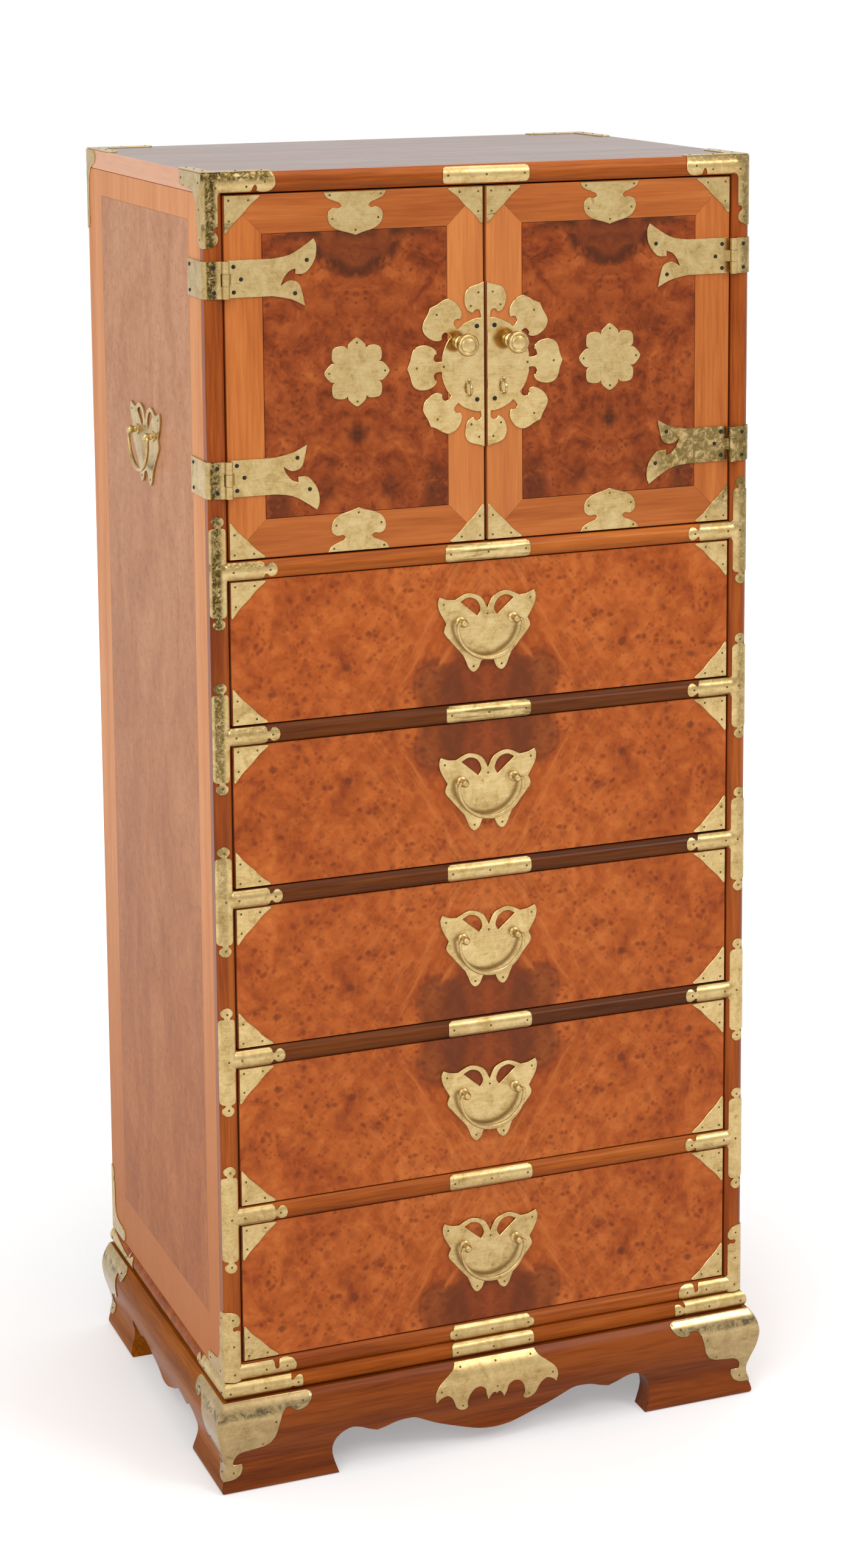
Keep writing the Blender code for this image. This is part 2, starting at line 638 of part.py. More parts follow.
def pull_plate():
    """A butterfly plate with two posts that carry the bail. Its back is at local y = 0."""
    half = [p for run in BUTTERFLY_SHARES for p in curve_through(run, 3)] + [BUTTERFLY_SHARES[-1][-1]]
    outline = mirrored(scaled(half, PULL_WIDTH / 2, PULL_HEIGHT / 2))
    ring = curve_through(FEELER_HOLE_SHARES[0], 2) + curve_through(FEELER_HOLE_SHARES[1], 1)
    hole = scaled(ring, PULL_WIDTH / 2, PULL_HEIGHT / 2)
    holes = [[(sign * x, z) for x, z in hole] for sign in SIDES.values()]
    plate = extruded("pull_plate", outline, (-PULL_THICKNESS, 0.0), "XZY", holes)
    posts = []
    for sign in SIDES.values():
        ring = circle(POST_RADIUS, 12, (sign * POST_SPACING / 2, POST_RISE))
        reach = (-PULL_THICKNESS - POST_LENGTH, -PULL_THICKNESS / 2)
        posts.append(extruded("post", ring, reach, "XZY"))
    bore = circle(BAIL_RADIUS + FIT, 10, (-PULL_THICKNESS - PIVOT_OUT, POST_RISE))
    through = extruded("bail_bore", bore, (-POST_SPACING, POST_SPACING), "YZX")
    return combined("pull_plate", plate, posts, [through])


def bail_curve():
    """A bail about its axis: two ends that turn into the posts and a round hanging grip."""
    post_side = POST_SPACING / 2 + POST_RADIUS
    spread = post_side + BAIL_GAP + BAIL_RADIUS
    bend = 2 * BAIL_RADIUS
    arc = [math.pi / 2 * k / 6 for k in range(7)]
    half = [(POST_SPACING / 2 - POST_RADIUS / 2, 0.0, 1.0), (post_side - BAIL_GAP, 0.0, 1.0)]
    for a in arc:
        share = math.sin(a)
        grip = 1.0 + (BAIL_SWELL_RATIO - 1.0) * share**2
        half.append((spread * math.cos(a), -bend - (BAIL_DROP - bend) * share, grip))
    half.insert(2, (spread - BAIL_RADIUS / 2, -BAIL_RADIUS / 2, 1.0))
    half[-1] = (0.0, -BAIL_DROP, BAIL_SWELL_RATIO)
    route = half + [(-x, z, r) for x, z, r in reversed(half[:-1])]
    curve = bpy.data.curves.new("bail", "CURVE")
    curve.dimensions = "3D"
    curve.bevel_depth = BAIL_RADIUS
    curve.bevel_resolution = 2
    curve.use_fill_caps = True
    spline = curve.splines.new("POLY")
    spline.points.add(len(route) - 1)
    for point, (x, z, thick) in zip(spline.points, route):
        point.co = (x, 0.0, z, 1.0)
        point.radius = thick
    return curve


def build_pull(name, plate, bail, look, at, turn, parent):
    """A butterfly plate and its swinging bail, set on a face."""
    add(f"{name}_pull_plate", plate, look, parent, at, turn)
    out = Matrix.Rotation(turn, 3, "Z") @ Vector((0, -PULL_THICKNESS - PIVOT_OUT, POST_RISE))
    add(f"{name}_bail", bail, look, parent, Vector(at) + out, turn)


def build_drawers(looks, plate, bail):
    """Five drawers: a front, an open tray behind it and a butterfly pull."""
    for n in range(1, DRAWER_COUNT + 1):
        floor = BASE_TOP + RAIL_HEIGHT + (DRAWER_COUNT - n) * DRAWER_PITCH
        middle = floor + DRAWER_OPENING / 2
        slide = carrier(f"drawer_{n}_slide", (0, FACE, middle))
        half = INNER_HALF - DRAWER_SIDE_GAP
        front = block(
            f"drawer_{n}_front",
            (-half, FACE, floor + DRAWER_TOP_GAP),
            (half, FACE + DRAWER_FRONT_THICKNESS, floor + DRAWER_OPENING - DRAWER_TOP_GAP),
        )
        add(f"drawer_{n}_front", front, looks["burl"], slide)
        add(f"drawer_{n}_box", drawer_tray(f"drawer_{n}_box", floor), looks["inner"], slide)
        build_pull(f"drawer_{n}", plate, bail, looks["brass"], (0, FACE - FIT, middle), 0.0, slide)


def drawer_tray(name, floor):
    """The open tray behind a drawer front: two sides, a back and a floor."""
    half = INNER_HALF - TRAY_SIDE_GAP
    near = FACE + DRAWER_FRONT_THICKNESS + FIT
    far = BACK - BACK_THICKNESS - TRAY_BACK_GAP
    shell = block(name, (-half, near, floor + FIT), (half, far, floor + FIT + TRAY_HEIGHT))
    hollow = block(
        "hollow",
        (-half + TRAY_WALL, near + TRAY_WALL, floor + FIT + TRAY_FLOOR),
        (half - TRAY_WALL, far - TRAY_WALL, floor + 2 * TRAY_HEIGHT),
    )
    return combined(name, shell, cuts=[hollow])


def build_catch(looks):
    """The catch under the top that holds both doors shut."""
    near = FACE + DOOR_THICKNESS + FIT
    catch = block(
        "door_catch",
        (-CATCH_WIDTH / 2, near, DOOR_HIGH - FIT - CATCH_HEIGHT),
        (CATCH_WIDTH / 2, near + CATCH_DEPTH, DOOR_HIGH - FIT),
    )
    add("door_catch", catch, looks["iron"])


def build():
    """The whole chest."""
    clear_scene()
    looks = {
        "frame": finish("frame_wood", (0.33, 0.11, 0.035), 0.35),
        "side": finish("side_veneer", (0.50, 0.23, 0.11), 0.35),
        "top": finish("top_veneer", (0.45, 0.20, 0.10), 0.25),
        "border": finish("door_border", (0.56, 0.21, 0.06), 0.35),
        "panel": finish("door_burl", (0.24, 0.07, 0.025), 0.35),
        "burl": finish("drawer_burl", (0.38, 0.11, 0.03), 0.35),
        "plinth": finish("plinth_wood", (0.25, 0.08, 0.03), 0.4),
        "inner": finish("inner_wood", (0.55, 0.38, 0.22), 0.6),
        "brass": finish("brass", (0.62, 0.47, 0.22), 0.35, 1.0),
        "iron": finish("iron", (0.05, 0.045, 0.04), 0.5, 1.0),
    }
    build_case(looks)
    build_base_board(looks)
    build_plinth_front(looks)
    build_plinth_sides(looks)
    for side, sign in SIDES.items():
        build_door(side, sign, looks)
    build_catch(looks)
    plate, bail = pull_plate(), bail_curve()
    build_drawers(looks, plate, bail)
    for side, sign in SIDES.items():
        at = (sign * (HALF_WIDTH + FIT), SIDE_MIDDLE, SIDE_PULL_HEIGHT)
        build_pull(f"{side}_side", plate, bail, looks["brass"], at, sign * math.pi / 2, None)


build()
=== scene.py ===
import math

import bmesh
import bpy
from mathutils import Matrix, Vector


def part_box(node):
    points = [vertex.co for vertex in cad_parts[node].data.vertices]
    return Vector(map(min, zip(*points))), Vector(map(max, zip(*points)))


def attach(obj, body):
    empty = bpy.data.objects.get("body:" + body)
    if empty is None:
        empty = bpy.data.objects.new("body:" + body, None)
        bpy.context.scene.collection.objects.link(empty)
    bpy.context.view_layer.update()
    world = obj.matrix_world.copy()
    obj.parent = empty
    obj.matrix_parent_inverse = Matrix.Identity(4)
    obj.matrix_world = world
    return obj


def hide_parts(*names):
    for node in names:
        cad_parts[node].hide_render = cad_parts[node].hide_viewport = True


# The looks of a two-door chest over five drawers: veneers, brass mounts, nails and a white studio.
# Plate outlines are in millimetres, and MM makes them metres.

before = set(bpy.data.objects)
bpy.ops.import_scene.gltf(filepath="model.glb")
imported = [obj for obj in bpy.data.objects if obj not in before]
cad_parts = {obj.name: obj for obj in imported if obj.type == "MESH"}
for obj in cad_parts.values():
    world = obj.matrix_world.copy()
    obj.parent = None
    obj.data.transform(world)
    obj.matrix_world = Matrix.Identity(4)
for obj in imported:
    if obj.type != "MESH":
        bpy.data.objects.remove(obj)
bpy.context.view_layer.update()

MM = 0.001
SIDES = {"left": -1, "right": 1}
DRAWERS = range(1, 6)

# Places on the solids
STILE_LOW, STILE_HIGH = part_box("right_stile")
HALF_WIDTH, INNER_HALF = STILE_HIGH[0], STILE_LOW[0]
STILE_MIDDLE, STILE_HALF = (HALF_WIDTH + INNER_HALF) / 2, (HALF_WIDTH - INNER_HALF) / 2
CROWN = STILE_LOW[1]  # front of the stiles and rails
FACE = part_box("right_door_frame")[0][1]  # front of the doors and drawers
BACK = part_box("right_side")[1][1]
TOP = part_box("top_panel")[1][2]
RAIL_NODES = ["top_rail", "cabinet_floor", *(f"drawer_divider_{n}" for n in range(1, 5)), "case_bottom"]
RAILS = {}
for rail in RAIL_NODES:
    low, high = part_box(rail)
    RAILS[rail] = ((low[2] + high[2]) / 2, (high[2] - low[2]) / 2)
BASE_LOW, BASE_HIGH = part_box("base_board")
BASE_MIDDLE, BASE_HALF = (BASE_LOW[2] + BASE_HIGH[2]) / 2, (BASE_HIGH[2] - BASE_LOW[2]) / 2
BASE_PROUD = BASE_HIGH[0] - HALF_WIDTH
DOOR_LOW, DOOR_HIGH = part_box("right_door_frame")
DOOR_CENTRE = (DOOR_LOW[0] + DOOR_HIGH[0]) / 2
DOOR_MIDDLE = (DOOR_LOW[2] + DOOR_HIGH[2]) / 2
RAIL_PITCH = RAILS["drawer_divider_3"][0] - RAILS["drawer_divider_4"][0]

# Plates and nails
PLATE = 0.9 * MM
EASE = 0.35 * MM  # chamfer round a plate
BEDDING = 0.12 * MM  # a plate's back above the wood
INSET = 0.4 * MM  # plates from the edges of doors and drawers
HINGE_THICK, LOCK_THICK, PULL_THICK = 1.5 * MM, 1.6 * MM, 2 * MM
CORNER = 265  # the case's front corners in the outlines: past them a plate goes back along the side
FOOT_SIDE = 0.82  # width of a foot mount on the side, as a share of its front

OGEE = [(3.5, 88), (9.5, 79.2), (12.5, 66), (10, 50.2), (5.5, 36.1), (3, 22.9), (7.8, 4.5), (5.8, 0)]


def chained(start, *runs):
    """Runs of points that each set out from the last point of the run before."""
    whole = []
    for run in runs:
        whole.append([start, *run])
        start = run[-1]
    return whole


T_ARM = chained(
    (202.6, 0), [(203.5, 3.5), (206.2, 5.7), (209.4, 5.7), (211.8, 4)], [(213, 3), (214.3, 3.5)],
    [(214.8, 5.8), (216.6, 7.3), (219, 7.6)], [(247.2, 7.6)], [(249.6, 8.6), (250.6, 11)], [(250.6, 36.4)],
    [(251, 38.8), (252.6, 40.2), (254.6, 40.5)], [(255.2, 41.4), (254.4, 42.4)],
    [(252.6, 44.4), (252.5, 47.8), (254.8, 50.5), (257.6, 51.3), (260.4, 50.5), (262.7, 47.8),
     (262.6, 44.4), (260.8, 42.4)], [(260, 41.4), (260.6, 40.5)],
    [(262.6, 40.2), (264.2, 38.8), (264.6, 36.4)], [(264.6, 0)],
)
TOP_CORNER = chained(
    (252.6, 1196.5), [(251.6, 1200.2), (248, 1201.4)], [(221, 1201.4)],
    [(219.6, 1205.6), (217.8, 1207.2), (216.4, 1205), (216.2, 1202.2)],
    [(211, 1200.9), (204.6, 1201.6), (200.4, 1205), (199.2, 1210), (201, 1217.8)], [(265, 1217.8)],
    [(325, 1217.8)], [(330.4, 1214), (331, 1208), (327, 1203.6), (321.4, 1203.4)],
    [(318.6, 1206.4), (315.6, 1204)], [(306, 1203.2), (294, 1201.6), (283.6, 1196), (279.4, 1186)],
    [(278.4, 1172)], [(275.4, 1168.8), (277, 1164.4)],
    [(275.6, 1157.6), (271.6, 1153.2), (265, 1152.6), (259.6, 1153.6), (254.4, 1156.4), (252.6, 1161),
     (254, 1165.4)], [(256.6, 1167.8), (255.4, 1170.6), (252.6, 1171.6)], [(252.6, 1196.5)],
)
LOW_CORNER = chained(
    (250.4, 126), [(250, 121.8), (247.6, 119.4)], [(218.8, 119.4)],
    [(217.4, 116.8), (217.2, 113.4), (215.3, 111.2), (213.4, 113), (213.2, 116.8), (212.2, 119.2)],
    [(206, 119.8), (199.6, 118.2), (196.4, 113.6), (197.4, 107.4), (201, 104.9)], [(265, 104.9)],
    [(306, 104.9)], [(311, 108), (311.4, 114), (307, 118)], [(303.6, 116.4), (301, 118.6)],
    [(288, 119.6), (279, 124), (275.6, 132), (275, 143)], [(274.6, 156)], [(272, 158.4), (273.4, 162)],
    [(272.6, 168), (269.6, 172.2), (265, 173)], [(259, 173.4), (253.6, 171), (250.6, 166), (250.8, 160.4)],
    [(253, 158.8), (256.4, 159), (257.6, 156.8), (256, 154.8), (252.8, 155.2), (250.4, 153.6)],
    [(250.4, 126)],
)
TOP_LEAF = chained(  # on the top, from the front or back edge
    (265, 70), [(263, 74.5), (258, 75), (254.5, 71.5), (252.5, 67)], [(251.6, 24)],
    [(249, 16.6), (242, 14)], [(212, 13.4)], [(206, 13.8), (201.6, 10), (201.5, 0)],
)
BACK_CORNER = chained(  # on the side, from the back edge
    (0, 1217.8), [(26, 1217.8)], [(30, 1213), (28, 1206.4), (22, 1204)],
    [(14, 1200), (8.4, 1192), (7, 1180)], [(6.6, 1146)], [(4.4, 1141), (0, 1140)],
)
BASE_ARM = chained(
    (-82, 0), [(-81.2, 3.4), (-78.6, 5.8), (-75.2, 5.8), (-72.6, 3.8)], [(-71.2, 2.6), (-69.8, 3.2)],
    [(-69.2, 5.4), (-67.4, 7.5)], [(62.4, 7.5)], [(64.2, 5.4), (64.8, 3.2)], [(66.2, 2.6), (67.6, 3.8)],
    [(70.2, 5.8), (73.6, 5.8), (76.2, 3.4), (77, 0)],
)
FOOT_MOUNT = chained(
    (0, 87.7), [(80, 87.7)], [(86.6, 85), (88.4, 80), (85, 75), (78, 73), (72.4, 74.4)],
    [(69, 77.4), (64.4, 76), (61.4, 71)],
    [(60.4, 66), (56, 55), (52, 49), (46, 44), (38, 41.5), (26, 40), (18, 39), (12, 35.5), (8, 30),
     (7.5, 26.5)], [(11, 26), (15.5, 26.5)], [(16.5, 22), (15, 16), (10, 13), (4, 12.5), (0, 12.5)],
)
APRON_MOUNT = chained(
    (0, 87.4), [(41, 87.4)], [(44, 82), (52, 76), (60, 69), (63, 61), (61.5, 53)],
    [(57.5, 57), (51, 59), (46, 55.5), (43, 50), (40.5, 44), (36, 40.4), (31, 39.8), (28, 43)],
    [(29.5, 48), (27.5, 56), (23, 61.5), (17, 62.5), (12, 59), (10.5, 53), (8, 46.5)],
    [(5.5, 51.5), (2.5, 54), (0, 52)],
)
RAIL_PLATE = chained(
    (-42, 0), [(-42, 3.2)], [(-41.2, 6), (-38.4, 7.3)], [(38.4, 7.3)], [(41.2, 6), (42, 3.2)], [(42, 0)],
)
LOW_RAIL_PLATE = chained(
    (-43.4, 0), [(-42.8, 2.6), (-41, 3.8)], [(-39.2, 4.4), (-38.6, 6), (-37, 7.3)], [(37, 7.3)],
    [(38.6, 6), (39.2, 4.4), (41, 3.8)], [(42.8, 2.6), (43.4, 0)],
)
CLOUD = chained(  # from the door's edge inwards
    (0, 0), [(29.5, 0)], [(26.5, 5), (20, 8.2), (14.6, 10.4), (12.8, 13)],
    [(15.5, 14.8), (20.5, 14.2), (25, 17.4), (26, 23.5), (23, 29.8), (16.5, 34), (8, 36.4), (0, 39)],
)
DOOR_SPOTS = [  # dark spots in the door burl, in metres from its middle: centre, half sizes and strength
    (0.0, -0.055, 0.011, 0.011, 0.95),
    (0.030, -0.106, 0.012, 0.013, 0.45),
    (0.074, -0.112, 0.014, 0.030, 0.7),
]
PETALS = [  # half of a pointed and of a broad one: degrees from its middle, and radius
    [(-22.5, 23.2), (-18, 26.1), (-9, 28.8), (-3, 30.6), (0, 31)],
    [(-22.5, 23.2), (-19.5, 25.9), (-11, 28.8), (-3, 30.9), (0, 31.1)],
]
TRIANGLE = chained(
    (0, 0), [(32, 0)], [(33.4, 1.2), (31.4, 3.2)], [(24.6, 8.6), (17, 16.8), (8.6, 24.6), (3.2, 31.4)],
    [(1.2, 33.4), (0, 32)], [(0, 0)],
)
BUTTERFLY = chained(
    (0, 22.2), [(6.3, 32.9), (19.4, 37), (32, 31.8)], [(39.3, 32.6), (46.6, 35.5)],
    [(48.5, 30.7), (47, 22.2), (40.3, 10)], [(42.7, 2.2), (35.9, -7), (23.8, -21.1)],
    [(21.3, -26.6), (18.4, -33.3), (14.1, -37), (9.2, -34), (6.3, -27.4)], [(3, -25.6), (0, -25.2)],
)
FEELER = chained(
    (9.7, 15.5), [(6.8, 21.5), (10.7, 30), (18.9, 32.9), (26.2, 29.6)], [(9.7, 15.5)],
)
LOBE = chained(  # half a lobe: out from the round plate, and across
    (-0.9, 4.9), [(2.2, 4.6), (5.6, 5.4), (6.9, 8), (6, 10.8), (3.9, 12.2)],
    [(5.2, 15.6), (9, 18.6), (15, 20.3), (21, 20), (26, 17.2), (28.4, 12.6), (30, 6.4), (32.6, 0)],
)
LOCK_RADIUS = 43.5
POST = [  # radius and height
    (0, 0), (5.2, 0), (5.2, 0.7), (4.4, 1.4), (3.1, 1.9), (2.8, 3.6), (3.5, 4.8), (3.9, 6.8), (3.5, 8.8),
    (2.2, 10.2), (0, 10.5),
]
KNOB = [
    (0, 0), (6.3, 0), (6.3, 1), (5.2, 1.8), (4.3, 2.6), (4.1, 4.4), (4.8, 6.8), (5.2, 8.8), (4.8, 10.8),
    (5.4, 12.2), (8.8, 13.2), (10.1, 14.4), (10.5, 16), (10.4, 18.2), (9.7, 19.8), (8.7, 20.5),
    (7.8, 20.3), (7.4, 19.6), (6.9, 19.4), (6.4, 19.8), (5.8, 20.2), (0, 20.4),
]
POST_SPREAD, POST_RISE, PIVOT_OUT = 26 * MM, 11 * MM, 9 * MM
STAPLE_X, STAPLE_DROP, STAPLE_HALF = 17 * MM, 21 * MM, 6.5 * MM


# Outlines and skins

def smooth_line(points, steps):
    """A smooth line through the points, without its last point."""
    line = []
    padded = [points[0], *points, points[-1]]
    for i in range(len(points) - 1):
        before, here, there, after = (Vector(p) for p in padded[i : i + 4])
        for k in range(steps if len(points) > 2 else 1):
            t = k / steps
            line.append(0.5 * (
                2 * here
                + (there - before) * t
                + (2 * before - 5 * here + 4 * there - after) * t**2
                + (3 * here - before - 3 * there + after) * t**3
            ))
    return line


def outline(runs, steps=4):
    """Smooth runs that meet in corners, as one line in metres with its last point left off."""
    return [tuple(p * MM) for run in runs for p in smooth_line(run, steps)]


def doubled(runs, axis, steps=4):
    """A closed outline from the half that starts and ends on the middle line."""
    half = outline(runs, steps) + [tuple(c * MM for c in runs[-1][-1])]
    flip = [(u, -v) if axis == "v" else (-u, v) for u, v in half]
    return half + flip[-2:0:-1]


def bead_depth(offset, half):
    """How far the rounded front of a stile or rail lies behind its crown."""
    rise = FACE - CROWN
    if abs(offset) >= half:
        return rise
    radius = (half**2 + rise**2) / (2 * rise)
    return radius - math.sqrt(radius**2 - offset**2)


def frame_skin(u, v):
    """The rounded front frame. Past the case's corner the skin goes back along the side."""
    across, side = abs(u), math.copysign(1, u)
    if across > HALF_WIDTH:
        return Vector((side * HALF_WIDTH, FACE + across - HALF_WIDTH, v))
    depth = bead_depth(across - STILE_MIDDLE, STILE_HALF)
    if across < STILE_MIDDLE:
        depth = min(depth, *(bead_depth(v - middle, half) for middle, half in RAILS.values()))
    return Vector((u, CROWN + depth, v))


def face_skin(u, v):
    """The flat front of the doors and drawers."""
    return Vector((u, FACE, v))


def top_skin(u, v):
    """The top of the case."""
    return Vector((u, v, TOP))


def left_side_skin(u, v):
    """The left side of the case, with u to the front."""
    return Vector((-HALF_WIDTH, -u, v))


OGEE_LINE = [*smooth_line([(p * MM, z * MM) for p, z in OGEE], 8), Vector((OGEE[-1][0] * MM, -MM))]


def base_proud(z):
    """How far the base stands out from the case at a height."""
    if z >= BASE_LOW[2]:
        return BASE_PROUD - bead_depth(z - BASE_MIDDLE, BASE_HALF)
    for above, below in zip(OGEE_LINE, OGEE_LINE[1:]):
        if below.y <= z <= above.y:
            return below.x + (above.x - below.x) * (z - below.y) / max(above.y - below.y, 1e-9)
    return OGEE_LINE[0].x


def plate_skin(u, v):
    """A pull's own flat back, before it goes to its place."""
    return Vector((u, BEDDING, v))


def base_corner_skin(a, z):
    """The base round its left front corner: a goes right along the front, and below 0 back on the side."""
    out = base_proud(z)
    if a >= 0:
        return Vector((-HALF_WIDTH - out + a, CROWN - out, z))
    return Vector((-HALF_WIDTH - out, CROWN - out - a, z))


def base_back_skin(a, z):
    """The left side of the base, with a from the back edge towards the front."""
    return Vector((-HALF_WIDTH - base_proud(z), BACK - a, z))


def base_front_skin(u, z):
    """The front of the base."""
    return Vector((u, CROWN - base_proud(z), z))


def laid(skin, u, v, lift):
    """A point at a height over a skin."""
    step = 0.04 * MM
    along = skin(u + step, v) - skin(u - step, v)
    up = skin(u, v + step) - skin(u, v - step)
    return skin(u, v) + along.cross(up).normalized() * lift


# Pieces

def gather(bm, part, move=None):
    """Adds a finished part to a piece."""
    if move:
        part.transform(move)
    bmesh.ops.recalc_face_normals(part, faces=part.faces)
    mesh = bpy.data.meshes.new("part")
    part.to_mesh(mesh)
    part.free()
    bm.from_mesh(mesh)
    bpy.data.meshes.remove(mesh)


def sheet(bm, rim, skin, cuts=((), ()), thick=PLATE, holes=(), move=None, keep=None):
    """A plate with a chamfered rim, cut along the lines where it bends and laid on a skin."""
    flat = bmesh.new()
    edges = []
    for loop in [rim, *holes]:
        verts = [flat.verts.new((u, v, 0)) for u, v in loop]
        edges += [flat.edges.new(pair) for pair in zip(verts, verts[1:] + verts[:1])]
    bmesh.ops.triangle_fill(flat, edges=edges, use_beauty=True)
    lines = [(axis, place, False) for axis, places in enumerate(cuts) for place in places]
    if keep:
        lines.append((0, keep[0], True))
    for axis, place, clear in lines:
        normal = Vector((axis == 0, axis == 1, 0))
        bmesh.ops.bisect_plane(
            flat, geom=flat.verts[:] + flat.edges[:] + flat.faces[:], plane_co=normal * place,
            plane_no=normal * (-keep[1] if clear else 1), clear_outer=clear, dist=1e-7,
        )
    bmesh.ops.inset_region(
        flat, faces=flat.faces[:], use_boundary=True, use_even_offset=True, thickness=EASE
    )
    for v in flat.verts:
        v.co.z = thick - EASE if v.is_boundary else thick
    raised = bmesh.ops.extrude_face_region(flat, geom=flat.faces[:])["geom"]
    for v in raised:
        if isinstance(v, bmesh.types.BMVert):
            v.co.z = 0
    for v in flat.verts:
        v.co = laid(skin, v.co.x, v.co.y, BEDDING + v.co.z)
    gather(bm, flat, move)


def turn_on_lathe(bm, profile, at, steps=24):
    """A turned part: (radius, height) points in millimetres, spun about an axis out of the front."""
    part = bmesh.new()
    line = [part.verts.new((r * MM, -h * MM, 0)) for r, h in profile]
    edges = [part.edges.new(pair) for pair in zip(line, line[1:])]
    bmesh.ops.spin(
        part, geom=line + edges, cent=(0, 0, 0), axis=(0, 1, 0), angle=2 * math.pi, steps=steps,
        use_merge=True,
    )
    bmesh.ops.remove_doubles(part, verts=part.verts, dist=1e-7)
    gather(bm, part, Matrix.Translation(at))


def wire(bm, route, radius, move=None):
    """A round wire along (point, thickness) pairs, with closed ends."""
    curve = bpy.data.curves.new("wire", "CURVE")
    curve.dimensions = "3D"
    curve.bevel_depth = radius
    curve.bevel_resolution = 3
    curve.use_fill_caps = True
    spline = curve.splines.new("POLY")
    spline.points.add(len(route) - 1)
    for point, (at, thick) in zip(spline.points, route):
        point.co = (*at, 1.0)
        point.radius = thick
    holder = bpy.data.objects.new("wire", curve)
    mesh = bpy.data.meshes.new_from_object(holder)
    part = bmesh.new()
    part.from_mesh(mesh)
    bmesh.ops.remove_doubles(part, verts=part.verts, dist=1e-7)
    gather(bm, part, move)
    bpy.data.objects.remove(holder)
    bpy.data.curves.remove(curve)
    bpy.data.meshes.remove(mesh)


def mirror_across(bm):
    """Repeats the left of a piece on the right."""
    everything = bm.verts[:] + bm.edges[:] + bm.faces[:]
    bmesh.ops.mirror(bm, geom=everything, matrix=Matrix.Identity(4), merge_dist=1e-7, axis="X")


def piece(name, bm, body, look, stands_for=()):
    """A finished piece of the chest that moves with a body."""
    bmesh.ops.recalc_face_normals(bm, faces=bm.faces)
    mesh = bpy.data.meshes.new(name)
    bm.to_mesh(mesh)
    bm.free()
    mesh.shade_smooth()
    mesh.set_sharp_from_angle(angle=math.radians(35))
    mesh.materials.append(look)
    made = bpy.data.objects.new(name, mesh)
    bpy.context.scene.collection.objects.link(made)
    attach(made, body)
    if stands_for:
        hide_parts(*stands_for)


nail_boxes = {}


def nails(body, skin, places, at=(0, 0), way=(1, 1), lift=PLATE, radius=1.15, metal="brass", move=None):
    """Domed nail heads on a plate, at places on its skin. All but the lift is in millimetres."""
    if (body, metal) not in nail_boxes:
        nail_boxes[body, metal] = bmesh.new()
    box = nail_boxes[body, metal]
    size = Matrix.Diagonal((radius * MM, radius * MM, 0.6 * radius * MM, 1))
    for u, v in places:
        u, v = (at[0] + way[0] * u) * MM, (at[1] + way[1] * v) * MM
        head = laid(skin, u, v, lift)
        out = laid(skin, u, v, lift + MM) - head
        turn = out.to_track_quat("Z", "Y").to_matrix().to_4x4()
        place = (move or Matrix.Identity(4)) @ Matrix.Translation(head) @ turn @ size
        bmesh.ops.create_uvsphere(box, u_segments=10, v_segments=4, radius=1, matrix=place)


# Finishes

def tone(red, green, blue):
    """A colour as a painter reads it off the piece, made linear."""
    parts = [c / 255 for c in (red, green, blue)]
    return tuple(c / 12.92 if c <= 0.04045 else ((c + 0.055) / 1.055) ** 2.4 for c in parts) + (1.0,)


